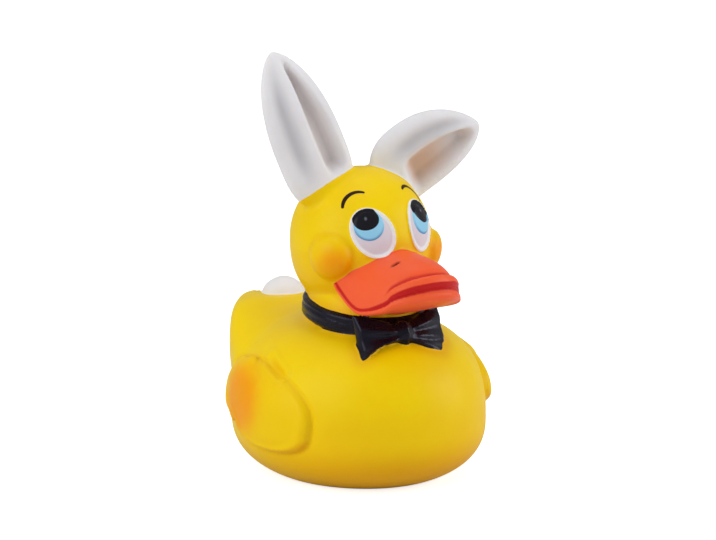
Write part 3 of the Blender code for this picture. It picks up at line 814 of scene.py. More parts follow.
# Painted shade in a deeper orange yellow: where the skin faces down and forward, beside dark paint, in folds
# and beside the relief
AMBER_ABOVE_BACK, AMBER_DOWN_RAMP, AMBER_FRONT_RAMP = 20.0 * MM, (-0.35, 0.75), (-0.2, 0.9)
AMBER_LOW, AMBER_NEAR, AMBER_NEAR_PLACE, AMBER_FOLD = 0.85, 0.5, (0.0, 4.5), 0.5
AMBER_BESIDE, AMBER_BESIDE_PLACE = 0.25, (0.6, 1.4)
DARK_REGIONS = ("bow", "neck_band", "lower_bill", "upper_bill")
RAISED_REGIONS = ("wing_left", "wing_right", "cheek_left", "cheek_right")

# Relief of the eyes and nostrils, and of the groove round the wings
EYE_INSIDE_RAMP, EYE_RIM_PLACE, EYE_SUNK = (0.3, 0.8), (-0.22, 0.42), 0.25
IRIS_RAISED, IRIS_RAMP, PUPIL_RAISED, PUPIL_RAMP = 0.22, (0.0, 0.5), 0.10, (0.0, 0.4)
NOSTRIL_DEPTH, NOSTRIL_RAMP, WING_GROOVE = 0.7, (-0.15, 0.3), 0.35
BASE_LAYER = 0.3 * MM

# The pinched fold's route on the duck's right, its groove and its ridge
FOLD_ROUTE = ((-30.1, -3.0, 39.5), (-31.3, -6.9, 35.7), (-32.0, -13.0, 33.4))
FOLD_FAR, FOLD_GROOVE, FOLD_GROOVE_PLACE, FOLD_RIDGE, FOLD_RIDGE_PLACE = 9.0, 2.4, (0.0, 2.3), 0.3, (2.7, 1.0)

# Creases in the tape: depth, height on the tape, share of the wander, half span
BAND_CREASES = ((0.30, 0.9, 1.0, 0.7), (0.24, -1.1, 0.7, 0.6))
CREASE_WANDER, CREASE_WAVES, BOW_BEARING_RAMP = 0.5, 3.0, (44.0, 52.0)


def soften_seams(points, edges, apart):
    """Rounds the seam between each two regions by the smaller of their fillets."""
    weight = np.zeros(len(points))
    own = np.argmin(np.stack(list(apart.values())), axis=0)
    for index, name in enumerate(apart):
        for other, away in apart.items():
            if other == name:
                continue
            radius = min(FILLETS[name], FILLETS[other]) * MM
            here = (own == index) * eased(SEAM_REACH * radius - away, 0.0, radius)
            weight = np.maximum(weight, here * min(1.0, (radius / SEAM_FULL_RADIUS) ** SEAM_POWER))
    return relaxed(points, edges, SEAM_PULL * weight[:, None], duck().cast.soften_steps)


def nearest_of(apart, names):
    """Distance to the nearest of these regions."""
    return np.min([apart[name] for name in names], axis=0)


def seam_field(apart, names):
    """Negative on these regions, positive off them, in metres: zero on the seam round them."""
    return nearest_of(apart, names) - nearest_of(apart, [name for name in apart if name not in names])


def ellipse_field(across, up, centre, half, turn=0.0):
    """Signed distance, near enough, from an ellipse's edge: negative inside."""
    c, s = math.cos(math.radians(turn)), math.sin(math.radians(turn))
    x, y = across - centre[0], up - centre[1]
    x, y = (x * c + y * s) / half[0], (y * c - x * s) / half[1]
    return (np.hypot(x, y) - 1.0) * min(half)


def below_ear_line(points):
    """Distance under the slanted plane that ends the upright ear's white, on the duck's right side."""
    away = (points - np.array(EAR_LINE_SPOT) * MM) @ unit(np.array(EAR_LINE_NORMAL))
    return np.where(points[:, 0] < 0.0, -away, -FAR * MM)


def face_fields(points):
    """Fields of the painted eyes and brows, in metres."""
    offset = points - head_centre()
    fields = {name: np.full(len(points), FAR * MM) for name in ("eye", "iris", "pupil", "brow", "glint")}
    for eye in EYES.values():
        out, across, up = eye_frame(eye)
        here = offset @ out > EYE_DEPTH * MM
        x, y = offset @ across, offset @ up
        plain = tangent_frame(eye["bearing"], eye["elevation"], eye["side"])
        u, v = offset @ plain[1], offset @ plain[2]
        iris, pupil = np.array(eye["iris"]) * MM, np.array(eye["pupil"])
        centre = pupil[:2] * MM
        found = {
            "eye": ellipse_field(x, y, (0.0, 0.0), [size * MM for size in eye["half"]]),
            "iris": ellipse_field(u, v, iris[:2], (iris[2], iris[2])),
            "pupil": ellipse_field(u, v, centre, pupil[2:4] * MM, pupil[4]),
            "glint": ellipse_field(u, v, centre + np.array(GLINT_OFFSET) * MM, GLINT_HALF),
            "brow": brow_field(offset, eye),
        }
        for name, value in found.items():
            fields[name] = np.where(here, np.minimum(fields[name], value), fields[name])
    return fields


def brow_field(offset, eye):
    """Distance outside a tapered stroke along an arc."""
    out, across, up = tangent_frame(BROW_BEARING, BROW_ELEVATION, eye["side"])
    x, y, radius, low, high = eye["brow"]
    u, v = offset @ across - x * MM, offset @ up - y * MM
    angle = np.degrees(np.arctan2(v, u))
    along = np.clip((angle - low) / (high - low), 0.0, 1.0)
    past = np.maximum(np.maximum(low - angle, angle - high), 0.0) * math.radians(1.0) * radius * MM
    taper = np.sin(np.pi * (BROW_TAPER_START + BROW_TAPER_SPAN * along))
    half = duck().paint.brow_half_width * (BROW_THINNEST + BROW_SWELL * taper)
    return np.hypot(np.hypot(u, v) - radius * MM, past) - half


def bill_fields(points):
    """Where darker red is painted as shade over the bill's slit and in its crease, and the two nostrils."""
    s = duck().head
    x, y = points[:, 0], points[:, 1] + s.ahead + BILL_AHEAD
    bearing = np.arctan2(x, -y)
    radius, arch, slit = bill_margin(bearing)
    share = np.hypot(x, y) / radius
    height = (points[:, 2] - slit) / MM
    edge, front = pillow_edge(arch)
    start, full = (mark + GROOVE_FRONT_RISE * front for mark in GROOVE_HIGH)
    groove = eased(height, *GROOVE_LOW) * (1.0 - eased(height, start, full)) * eased(share, *GROOVE_OUT_RAMP)
    crease = bump(share, edge + CREASE_OUTSIDE, CREASE_HALF_SPAN)
    crease = crease * eased(height, *CREASE_HEIGHT_RAMP) * eased(front, *CREASE_FRONT_RAMP)
    dent = bump(height, 0.0, SLIT_HALF_SPAN) * eased(share, *SLIT_OUT_RAMP) * eased(arch, *SLIT_ARCH_RAMP)
    lip_dent = LIP_DENT * bump(height, *LIP_DENT_PLACE) * front * eased(share, *LIP_DENT_OUT_RAMP)
    slit_dent = dent * s.slit_depth / MM + lip_dent
    nostril = ellipse_field(np.abs(x), points[:, 1], NOSTRIL_PLACE, NOSTRIL_HALF, NOSTRIL_TURN)
    return {"groove": groove, "crease": crease, "slit": slit_dent, "nostril": nostril}


def ear_fields(points):
    """How far each point lies in the beige hollow of the ears and under their grey painted shade in the
    valleys and hollows, from 0 to 1.
    """
    found, valley_shade = np.zeros(len(points)), np.zeros(len(points))
    for which in EARS:
        root, axis, side, front, size, half_width, curl = ear_sizes(which)
        offset = points - root
        along = (offset @ axis) / size
        inside = np.clip(along, 0.0, 1.0)
        share = np.clip((inside - EAR_WIDEST) / (1.0 - EAR_WIDEST), 0.0, 1.0)
        outline = np.maximum(ear_outline(share), EAR_THINNEST)
        across = (offset @ side + 4.0 * curl * inside * (1.0 - inside)) / (half_width * outline)
        deep, shallow = ear_hollow(across, inside, which)
        facing = eased((offset @ front) / MM, *EAR_FRONT_RAMP) * (np.abs(along - 0.5) < 0.5)
        drooping_beige = 1.0 - DROOPING_FADE * eased(along, *DROOPING_FADE_RAMP)
        found = np.maximum(found, deep * facing * (UPRIGHT_BEIGE if which == "upright" else drooping_beige))
        valley_shade = np.maximum(valley_shade, (shallow + HOLLOW_SHADE * deep) * facing)
    return {"hollow": found, "valley": valley_shade}


def blush_field(points):
    """Airbrushed orange on the cheeks and on the wing tips, from 0 to 1."""
    found = np.zeros(len(points))
    offset = points - head_centre()
    direction = unit(points - np.array((0.0, -duck().body.ahead, duck().body.widest_height)))
    below = direction[:, 2] < BLUSH_WING_TOP
    for side in (-1.0, 1.0):
        out, across, up = tangent_frame(*BLUSH_CHEEK, side)
        spread = np.hypot(offset @ across, offset @ up) / BLUSH_CHEEK_RADIUS
        on_head = offset @ out > CHEEK_DEPTH * MM
        found = np.maximum(found, np.exp(-BLUSH_CHEEK_FALL * spread**2) * on_head)
        spot = heading(side * BLUSH_WING[0], BLUSH_WING[1])
        away = np.degrees(np.arccos(np.clip(direction @ spot, -1.0, 1.0)))
        mist = BLUSH_WING_STRENGTH * np.exp(-((away / BLUSH_WING_SPREAD) ** 2))
        found = np.maximum(found, np.minimum(mist, 1.0) * below)
    return found


def painted_shade_field(points, normals, apart):
    """Painted shade in a deeper orange yellow: facing down, low on the breast, and close to the bill, bow and
    wings.
    """
    low = eased(-normals[:, 2], *AMBER_DOWN_RAMP) * (0.5 + 0.5 * eased(-normals[:, 1], *AMBER_FRONT_RAMP))
    low = low * (points[:, 2] < back_height() + AMBER_ABOVE_BACK)
    near, beside = nearest_of(apart, DARK_REGIONS) / MM, nearest_of(apart, RAISED_REGIONS) / MM
    found = np.maximum(AMBER_LOW * low, AMBER_NEAR * bump(near, *AMBER_NEAR_PLACE))
    found = np.maximum(found, -AMBER_FOLD * np.minimum(wing_folds(points), 0.0))
    return np.maximum(found, AMBER_BESIDE * bump(beside, *AMBER_BESIDE_PLACE))


def press_relief(points, normals, fields):
    """Moves the skin along its normals, to raise and sink the eyes, nostrils, creases, grooves and folds."""
    eye, iris, pupil = fields["eye"] / MM, fields["iris"] / MM, fields["pupil"] / MM
    inside = eased(-eye, *EYE_INSIDE_RAMP)
    lift = duck().head.eye_rim * bump(eye, *EYE_RIM_PLACE) - EYE_SUNK * MM * inside
    lift = lift + IRIS_RAISED * MM * eased(-iris, *IRIS_RAMP) * inside
    lift = lift + PUPIL_RAISED * MM * eased(-pupil, *PUPIL_RAMP) * inside
    lift = lift - NOSTRIL_DEPTH * MM * eased(-fields["nostril"] / MM, *NOSTRIL_RAMP)
    pressed = fields["band_crease"] + wing_folds(points) - fields["slit"]
    pressed = pressed - WING_GROOVE * fields["wing_groove"]
    return points + normals * (lift + pressed * MM)[:, None]


def bored_vent(points):
    """The small hole in the flat base through which the moulding breathes."""
    s = duck().cast
    away = np.hypot(points[:, 0], points[:, 1] - s.vent_behind)
    edge = s.vent_diameter / 2.0
    bored = (points[:, 2] < BASE_LAYER) * (1.0 - eased(away, edge - 0.5 * s.voxel, edge + 0.5 * s.voxel))
    return points + UP * (bored * s.vent_depth)[:, None]


def wing_folds(points):
    """The pinched fold in the body over the front of each wing: a groove with a low ridge behind it."""
    route = [np.array(spot) * MM for spot in FOLD_ROUTE]
    found = np.zeros(len(points))
    for side in (1.0, -1.0):
        mirrored = points * np.array((side, 1.0, 1.0))
        nearest = np.full(len(points), FOLD_FAR)
        for start, end in zip(route, route[1:]):
            run = end - start
            share = np.clip((mirrored - start) @ run / (run @ run), 0.0, 1.0)
            away = mirrored - start - share[:, None] * run
            nearest = np.minimum(nearest, np.linalg.norm(away, axis=1) / MM)
        groove, ridge = bump(nearest, *FOLD_GROOVE_PLACE), bump(nearest, *FOLD_RIDGE_PLACE)
        found = found - FOLD_GROOVE * groove + FOLD_RIDGE * ridge
    return found


def band_creases(points, black):
    """Lengthwise creases in the tape, away from the bow."""
    s = duck().bow
    offset = points - band_centre()
    height = offset[:, 2] * math.cos(s.band_tilt) - offset[:, 1] * math.sin(s.band_tilt)
    round_neck = np.degrees(np.arctan2(offset[:, 0], -offset[:, 1]))
    wander = CREASE_WANDER * np.sin(np.radians(round_neck) * CREASE_WAVES)
    found = np.zeros(len(points))
    for depth, middle, share, half_span in BAND_CREASES:
        found = found - depth * bump(height / MM, middle + share * wander, half_span)
    on_tape = (black < 0.0) * (np.hypot(offset[:, 0], offset[:, 1]) > s.band_radius)
    return found * on_tape * eased(np.abs(round_neck), *BOW_BEARING_RAMP)


def store(mesh, name, values):
    layer = mesh.attributes.new(name, "FLOAT", "POINT")
    layer.data.foreach_set("value", np.ascontiguousarray(values, np.float32))


# Shader nodes

# The latex's noises, each by scale, detail and roughness, and their shares in its colour, gloss and height
BROAD, MOTTLE, PEBBLE = (22.0, 2.0), (130.0, 4.0, 0.6), (900.0, 3.0, 0.55)
MOTTLE_SHARE, BROAD_SHARE, DRIFT_RAMP, GLOSS_SPREAD = 0.35, 0.9, (0.45, 0.85), 0.16
PEBBLE_HEIGHT, MOTTLE_HEIGHT = 0.5, 0.8

# A painted edge's wander, as a multiple of its wobble, and the brim of paint that stands just outside it
EDGE_WANDER, BRIM_PLACE, BRIM_HALF_WIDTH = 4.0, 0.12, 0.32


class Nodes:
    """A short way to place and join nodes in one tree."""

    def __init__(self, tree):
        self.tree = tree

    def add(self, kind, inputs=None, **settings):
        node = self.tree.nodes.new(kind)
        for name, value in settings.items():
            setattr(node, name, value)
        for name, value in (inputs or {}).items():
            self.join(value, node.inputs[name])
        return node

    def join(self, value, socket):
        if isinstance(value, bpy.types.NodeSocket):
            self.tree.links.new(value, socket)
        else:
            socket.default_value = value

    def maths(self, operation, first, second=0.0, third=0.0):
        return self.add("ShaderNodeMath", {0: first, 1: second, 2: third}, operation=operation).outputs[0]

    def mix(self, amount, first, second):
        return self.add("ShaderNodeMix", {0: amount, 6: first, 7: second}, data_type="RGBA").outputs[2]

    def blend(self, amount, first, second):
        """Between two numbers, as mix is between two colours."""
        return self.add("ShaderNodeMix", {0: amount, 2: first, 3: second}, data_type="FLOAT").outputs[0]

    def ramp(self, value, low, high, start=0.0, end=1.0):
        node = self.add("ShaderNodeMapRange", {0: value, 1: low, 2: high, 3: start, 4: end},
                        interpolation_type="SMOOTHSTEP")
        return node.outputs[0]

    def noise(self, vector, scale, detail=3.0, roughness=0.5):
        node = self.add("ShaderNodeTexNoise", {"Vector": vector, "Scale": scale, "Detail": detail,
                                                "Roughness": roughness})
        return node.outputs["Fac"]

    def attribute(self, name):
        return self.add("ShaderNodeAttribute", attribute_name=name).outputs["Fac"]


def node_group(kind, name, inputs, outputs):
    """An empty node group with these named sockets, and its input and output nodes."""
    tree = bpy.data.node_groups.new(name, kind)
    for socket, (socket_type, value) in inputs.items():
        made = tree.interface.new_socket(socket, in_out="INPUT", socket_type=socket_type)
        if value is not None:
            made.default_value = value
    for socket, socket_type in outputs.items():
        tree.interface.new_socket(socket, in_out="OUTPUT", socket_type=socket_type)
    nodes = Nodes(tree)
    return tree, nodes, nodes.add("NodeGroupInput").outputs, nodes.add("NodeGroupOutput").inputs


def painted_edge_group():
    """A mask that is 1 where the field is below 0, with the wandering edge of a hand-held brush."""
    tree, nodes, given, result = node_group(
        "ShaderNodeTree", "Painted edge",
        {"Vector": ("NodeSocketVector", None), "Field": ("NodeSocketFloat", 0.0),
         "Wobble": ("NodeSocketFloat", 0.16), "Softness": ("NodeSocketFloat", 0.08),
         "Scale": ("NodeSocketFloat", 260.0)},
        {"Mask": "NodeSocketFloat", "Brim": "NodeSocketFloat"},
    )
    wander = nodes.maths("SUBTRACT", nodes.noise(given["Vector"], given["Scale"], 2.0), 0.5)
    reach = nodes.maths("MULTIPLY", given["Wobble"], EDGE_WANDER)
    field = nodes.maths("MULTIPLY_ADD", wander, reach, given["Field"])
    low = nodes.maths("MULTIPLY", given["Softness"], -1.0)
    nodes.join(nodes.ramp(field, low, given["Softness"], 1.0, 0.0), result["Mask"])
    away = nodes.maths("ABSOLUTE", nodes.maths("SUBTRACT", field, BRIM_PLACE))
    nodes.join(nodes.ramp(away, 0.0, BRIM_HALF_WIDTH, 1.0, 0.0), result["Brim"])
    return tree


def latex_group():
    """Cast latex: colour that drifts over the surface, with a fine pebbled height and uneven gloss."""
    tree, nodes, given, result = node_group(
        "ShaderNodeTree", "Latex",
        {"Vector": ("NodeSocketVector", None), "Colour": ("NodeSocketColor", (0.8, 0.8, 0.8, 1.0)),
         "Deep colour": ("NodeSocketColor", (0.5, 0.5, 0.5, 1.0)), "Drift": ("NodeSocketFloat", 0.35),
         "Roughness": ("NodeSocketFloat", 0.42)},
        {"Colour": "NodeSocketColor", "Roughness": "NodeSocketFloat", "Height": "NodeSocketFloat"},
    )
    broad = nodes.noise(given["Vector"], *BROAD)
    mottle = nodes.noise(given["Vector"], *MOTTLE)
    amount = nodes.maths("MULTIPLY_ADD", mottle, MOTTLE_SHARE, nodes.maths("MULTIPLY", broad, BROAD_SHARE))
    amount = nodes.maths("MULTIPLY", nodes.ramp(amount, *DRIFT_RAMP), given["Drift"])
    nodes.join(nodes.mix(amount, given["Colour"], given["Deep colour"]), result["Colour"])
    centred = nodes.maths("SUBTRACT", mottle, 0.5)
    uneven = nodes.maths("MULTIPLY_ADD", centred, GLOSS_SPREAD, given["Roughness"])
    nodes.join(uneven, result["Roughness"])
    pebble = nodes.noise(given["Vector"], *PEBBLE)
    low_relief = nodes.maths("MULTIPLY", mottle, MOTTLE_HEIGHT)
    height = nodes.maths("MULTIPLY_ADD", pebble, PEBBLE_HEIGHT, low_relief)
    nodes.join(height, result["Height"])
    return tree


def rgba(value):
    return (*value, 1.0)


# Drift and roughness of each coat, and the roughness of the paints that have no drift
LATEX_COAT, BILL_COAT, WHITE_COAT, BLACK_COAT = (0.45, 0.40), (0.6, 0.36), (0.5, 0.5), (0.5, 0.27)
ROUGHNESS = {"brow": 0.4, "eye": 0.42, "iris": 0.34, "pupil": 0.26, "glint": 0.3}

# How each paint is brushed on: its wobble, as a share of the settings' on the large ones, softness, offset
WHITE_BRUSH, BILL_WOBBLE, BLACK_WOBBLE, GLINT_BRUSH = (0.07, 0.15), 0.6, 0.7, (0.0, 0.25)
EYE_BRUSH, BROW_BRUSH = (0.05, 0.06), (0.04, 0.06)

# Ramps over a field or a strength: from, to, and what they give at each end where that isn't 0 and 1
MIST_NOISE, MIST_SPREAD, BLUSH_RAMP = (170.0, 3.0), 0.35, (0.12, 1.0, 0.0, 0.92)
GROOVE_SHADE_RAMP, NOSTRIL_SHADE_RAMP = (0.15, 0.95, 0.0, 0.92), (-0.25, 0.35, 0.9, 0.0)
EYE_RECESS_SHADE_RAMP, EYE_INNER_RAMP = (-1.05, -0.62, 0.75, 0.0), (-0.34, -0.2, 1.0, 0.0)
IRIS_SHADE_RAMP = (-0.9, -0.1)
CREASE_SHADE, HOLLOW_BEIGE, VALLEY_SHADE, GLINT_STRENGTH, BRIM_HEIGHT = 0.8, 0.9, 0.55, 0.3, 0.6

# Paints beside those in the settings, among them the painted shade in the eyes' recesses and the nostrils and
# the painted glint, and the sheen and gloss of the latex and of the black
WHITE_DEEP, BLACK_DEEP, GLINT = (0.70, 0.69, 0.72), (0.010, 0.009, 0.018), (0.4, 0.43, 0.52)
EYE_WHITE, EYE_RECESS_SHADE, NOSTRIL_SHADE = (0.88, 0.87, 0.88), (0.66, 0.60, 0.68), (0.16, 0.0, 0.0)
BILL_DEEPER, PLAIN_SHEEN, BLACK_SHEEN = (1.0, 0.62, 0.6), (1.0, 1.0, 1.0), (0.65, 0.62, 0.85)
PLAIN_GLOSS, BLACK_GLOSS, PEBBLE_STRENGTH, PEBBLE_DISTANCE = 0.14, 0.17, 0.35, 0.00018
SUBSURFACE = {"Weight": 0.12, "Radius": (1.0, 0.55, 0.15), "Scale": 0.0016}
FLOOR_GREY, FLOOR_PALE, FLOOR_GLOW = (0.79, 0.79, 0.79), (0.82, 0.82, 0.82), 0.75


def skin_material():
    """The whole duck: yellow latex under airbrushed blush and hand-painted bill, bow, ears and eyes, and
    painted shade.
    """
    s = duck().paint
    material = bpy.data.materials.new("Painted latex")
    material.use_nodes = True
    nodes = Nodes(material.node_tree)
    shader = material.node_tree.nodes["Principled BSDF"]
    where = nodes.add("ShaderNodeTexCoord").outputs["Object"]
    latex, painted_edge = latex_group(), painted_edge_group()

    def coat(tint, deep, drift, roughness):
        values = {"Vector": where, "Colour": rgba(tint), "Deep colour": rgba(deep), "Drift": drift,
                  "Roughness": roughness}
        return nodes.add("ShaderNodeGroup", values, node_tree=latex).outputs

    def brushed(field, wobble, softness=0.08, offset=0.0):
        shifted = nodes.maths("SUBTRACT", nodes.attribute(field), offset)
        values = {"Vector": where, "Field": shifted, "Wobble": wobble, "Softness": softness}
        return nodes.add("ShaderNodeGroup", values, node_tree=painted_edge).outputs

    def faded(field, low, high, start=0.0, end=1.0):
        return nodes.ramp(nodes.attribute(field), low, high, start, end)

    wobble = s.edge_wobble / MM
    yellow = coat(s.latex, s.latex_deep, *LATEX_COAT)
    mist = nodes.maths("SUBTRACT", nodes.noise(where, *MIST_NOISE), 0.5)
    blush = nodes.maths("MULTIPLY_ADD", mist, MIST_SPREAD, nodes.attribute("blush"))
    tint = nodes.mix(nodes.ramp(blush, *BLUSH_RAMP), yellow["Colour"], rgba(s.blush))
    # Painted shade: the deeper orange yellow where the skin faces down, in the folds and beside the bill, bow
    # and raised pads
    tint = nodes.mix(nodes.attribute("painted_shade"), tint, rgba(s.latex_painted_shade))
    roughness = yellow["Roughness"]

    bill = coat(s.bill, [part * share for part, share in zip(s.bill, BILL_DEEPER)], *BILL_COAT)
    # Painted shade: darker red in the groove over the slit and in the crease round the pillow
    crease = nodes.maths("MULTIPLY", nodes.attribute("crease"), CREASE_SHADE)
    groove = nodes.maths("MAXIMUM", nodes.attribute("groove"), crease)
    bill_tint = nodes.mix(nodes.ramp(groove, *GROOVE_SHADE_RAMP), bill["Colour"], rgba(s.bill_groove_shade))
    # Painted shade: near-black red inside the nostril holes
    bill_tint = nodes.mix(faded("nostril", *NOSTRIL_SHADE_RAMP), bill_tint, rgba(NOSTRIL_SHADE))

    white = coat(s.white, WHITE_DEEP, *WHITE_COAT)
    hollow = nodes.maths("MULTIPLY", nodes.attribute("hollow"), HOLLOW_BEIGE)
    # Painted shade: grey in the ears' valleys and hollows
    valley_shade = nodes.maths("MULTIPLY", nodes.attribute("valley"), VALLEY_SHADE)
    white_tint = nodes.mix(hollow, nodes.mix(valley_shade, white["Colour"], rgba(s.valley)), rgba(s.hollow))
    # Painted shade: lavender grey over the eye's sunken inside, white kept along its rim
    eye_white_and_shade = nodes.mix(faded("eye", *EYE_RECESS_SHADE_RAMP), rgba(EYE_WHITE), rgba(EYE_RECESS_SHADE))
    # Painted shade: the iris darkens towards its edge, and keeps its light blue where it faces up
    iris_tint = nodes.mix(faded("iris", *IRIS_SHADE_RAMP), rgba(s.iris), rgba(s.iris_shade))
    iris_tint = nodes.mix(faded("iris_facing_up", 0.0, 1.0), iris_tint, rgba(s.iris))
    black = coat(s.black, BLACK_DEEP, *BLACK_COAT)

    on_white = brushed("white", wobble, *WHITE_BRUSH)
    on_bill = brushed("bill", wobble * BILL_WOBBLE)
    on_black = brushed("black", wobble * BLACK_WOBBLE)["Mask"]
    inner = faded("eye", *EYE_INNER_RAMP)
    iris, pupil = (nodes.maths("MULTIPLY", brushed(field, *EYE_BRUSH)["Mask"], inner)
                   for field in ("iris", "pupil"))
    glint = nodes.maths("MULTIPLY", brushed("glint", *GLINT_BRUSH)["Mask"], GLINT_STRENGTH)
    layers = (
        (on_white["Mask"], white_tint, white["Roughness"]),
        (on_bill["Mask"], bill_tint, bill["Roughness"]),
        (on_black, black["Colour"], black["Roughness"]),
        (brushed("brow", *BROW_BRUSH)["Mask"], rgba(s.brow), ROUGHNESS["brow"]),
        (brushed("eye", *EYE_BRUSH)["Mask"], eye_white_and_shade, ROUGHNESS["eye"]),
        (iris, iris_tint, ROUGHNESS["iris"]),
        (pupil, rgba(s.pupil), ROUGHNESS["pupil"]),
        (glint, rgba(GLINT), ROUGHNESS["glint"]),
    )
    for amount, layer_tint, layer_roughness in layers:
        tint = nodes.mix(amount, tint, layer_tint)
        roughness = nodes.blend(amount, roughness, layer_roughness)
    brims = nodes.maths("ADD", on_white["Brim"], on_bill["Brim"])
    height = nodes.maths("MULTIPLY_ADD", brims, BRIM_HEIGHT, yellow["Height"])
    relief = nodes.add("ShaderNodeBump",
                       {"Height": height, "Strength": PEBBLE_STRENGTH, "Distance": PEBBLE_DISTANCE})
    finish = {
        "Base Color": tint, "Roughness": roughness, "Normal": relief.outputs["Normal"],
        "Specular Tint": nodes.mix(on_black, rgba(PLAIN_SHEEN), rgba(BLACK_SHEEN)),
        "Specular IOR Level": nodes.maths("MULTIPLY_ADD", on_black, BLACK_GLOSS, PLAIN_GLOSS),
    }
    finish.update({"Subsurface " + name: value for name, value in SUBSURFACE.items()})
    for name, value in finish.items():
        nodes.join(value, shader.inputs[name])
    return material


def floor_material():
    """Nearly white, and lit a little for the camera alone, so that the duck stands on a pale ground."""
    material = bpy.data.materials.new("Pale floor")
    material.use_nodes = True
    nodes = Nodes(material.node_tree)
    shader = material.node_tree.nodes["Principled BSDF"]
    where = nodes.add("ShaderNodeTexCoord").outputs["Object"]
    grain = nodes.noise(where, 6.0, 2.0)
    nodes.join(nodes.mix(grain, rgba(FLOOR_GREY), rgba(FLOOR_PALE)), shader.inputs["Base Color"])
    shader.inputs["Roughness"].default_value = 0.8
    shader.inputs["Emission Color"].default_value = (1.0, 1.0, 1.0, 1.0)
    seen = nodes.add("ShaderNodeLightPath").outputs["Is Camera Ray"]
    nodes.join(nodes.maths("MULTIPLY", seen, FLOOR_GLOW), shader.inputs["Emission Strength"])
    return material


# Geometry nodes

GEOMETRY = {"Geometry": "NodeSocketGeometry"}
PIMPLE_ROUTE = ((-27.3, 10.9, 36.1), (-24.8, 5.9, 38.8), (-21.3, 0.8, 41.5), (-16.6, -1.5, 43.4))
PIMPLE_STOPS, PIMPLE_SIZES = 40, (0.5, 1.1)
TAPE_CORNER, TAPE_CORNER_POINTS = 1.1 * MM, 6


def modifier_with(piece, tree, values):
    """Adds the tree to the piece and sets its named inputs by their identifiers."""
    step = piece.modifiers.new(tree.name, "NODES")
    step.node_group = tree
    for item in tree.interface.items_tree:
        if item.item_type == "SOCKET" and item.in_out == "INPUT" and item.name in values:
            step[item.identifier] = values[item.name]
    return step


def band_tree():
    """A flat tape swept round the neck: a rounded oblong carried along a tilted circle."""
    tree, nodes, given, result = node_group("GeometryNodeTree", "Neck band", {
        "Radius": ("NodeSocketFloat", 0.0166), "Width": ("NodeSocketFloat", 0.006),
        "Thickness": ("NodeSocketFloat", 0.0028), "Centre": ("NodeSocketVector", None),
        "Tilt": ("NodeSocketFloat", 0.15), "Material": ("NodeSocketMaterial", None),
    }, GEOMETRY)
    path = nodes.add("GeometryNodeCurvePrimitiveCircle", {"Resolution": 160, "Radius": given["Radius"]})
    oblong = nodes.add("GeometryNodeCurvePrimitiveQuadrilateral",
                       {"Width": given["Thickness"], "Height": given["Width"]})
    corners = nodes.add("GeometryNodeFilletCurve", {"Curve": oblong.outputs[0]})
    corners.inputs["Radius"].default_value = TAPE_CORNER
    fill_rounded_corners(corners)
    fine = nodes.add("GeometryNodeResampleCurve", {"Curve": corners.outputs[0], "Count": 32})
    tape = nodes.add("GeometryNodeCurveToMesh", {"Curve": path.outputs[0], "Profile Curve": fine.outputs[0]})
    turn = nodes.add("ShaderNodeCombineXYZ", {"X": given["Tilt"]})
    placed = nodes.add("GeometryNodeTransform", {"Geometry": tape.outputs[0], "Translation": given["Centre"],
                                                 "Rotation": turn.outputs[0]})
    real = nodes.add("GeometryNodeRealizeInstances", {"Geometry": placed.outputs[0]})
    done = nodes.add("GeometryNodeSetMaterial", {"Geometry": real.outputs[0], "Material": given["Material"]})
    nodes.join(done.outputs[0], result["Geometry"])
    return tree


def fill_rounded_corners(corners):
    """Round corners of several points, whichever way this node takes its mode."""
    if "Mode" in corners.inputs:
        corners.inputs["Mode"].default_value = "Poly"
    else:
        corners.mode = "POLY"
    corners.inputs["Count"].default_value = TAPE_CORNER_POINTS


def pimple_tree():
    """Low domes set along a line on the skin."""
    tree, nodes, given, result = node_group("GeometryNodeTree", "Mould pimples", {
        "Geometry": ("NodeSocketGeometry", None), "Spacing": ("NodeSocketFloat", 0.0009),
        "Radius": ("NodeSocketFloat", 0.00016), "Seed": ("NodeSocketInt", 3),
        "Material": ("NodeSocketMaterial", None),
    }, GEOMETRY)
    line = nodes.add("GeometryNodeMeshToCurve", {"Mesh": given["Geometry"]})
    spots = nodes.add("GeometryNodeCurveToPoints", {"Curve": line.outputs[0], "Length": given["Spacing"]},
                      mode="LENGTH")
    dome = nodes.add("GeometryNodeMeshIcoSphere", {"Radius": given["Radius"], "Subdivisions": 2})
    size = nodes.add("FunctionNodeRandomValue", {"Seed": given["Seed"]}, data_type="FLOAT")
    size.inputs[2].default_value, size.inputs[3].default_value = PIMPLE_SIZES
    placed = nodes.add("GeometryNodeInstanceOnPoints", {
        "Points": spots.outputs["Points"], "Instance": dome.outputs[0], "Scale": size.outputs[1],
    })
    real = nodes.add("GeometryNodeRealizeInstances", {"Geometry": placed.outputs[0]})
    done = nodes.add("GeometryNodeSetMaterial", {"Geometry": real.outputs[0], "Material": given["Material"]})
    nodes.join(done.outputs[0], result["Geometry"])
    return tree


def mould_pimples(skin):
    """The faint row of mould pimples that runs from the wing's fold towards the neck band."""
    route, surface = np.array(PIMPLE_ROUTE) * MM, surface_of(skin)
    stops = np.linspace(0.0, len(route) - 1.0, PIMPLE_STOPS)
    spots = np.stack([np.interp(stops, range(len(route)), route[:, axis]) for axis in range(3)], axis=1)
    on_skin = [surface.find_nearest(spot)[0] for spot in spots]
    line = bpy.data.meshes.new("mould_pimples")
    line.from_pydata(on_skin, [(index, index + 1) for index in range(len(on_skin) - 1)], [])
    piece = link(bpy.data.objects.new("mould_pimples", line))
    modifier_with(piece, pimple_tree(), {"Material": skin.materials[0]})
    piece.data = evaluated_mesh(piece)
    piece.modifiers.clear()
    for name in PAINT_FIELDS:
        store(piece.data, name, np.full(len(piece.data.vertices), FAR))
    piece.data.shade_smooth()
    return piece


# Operators

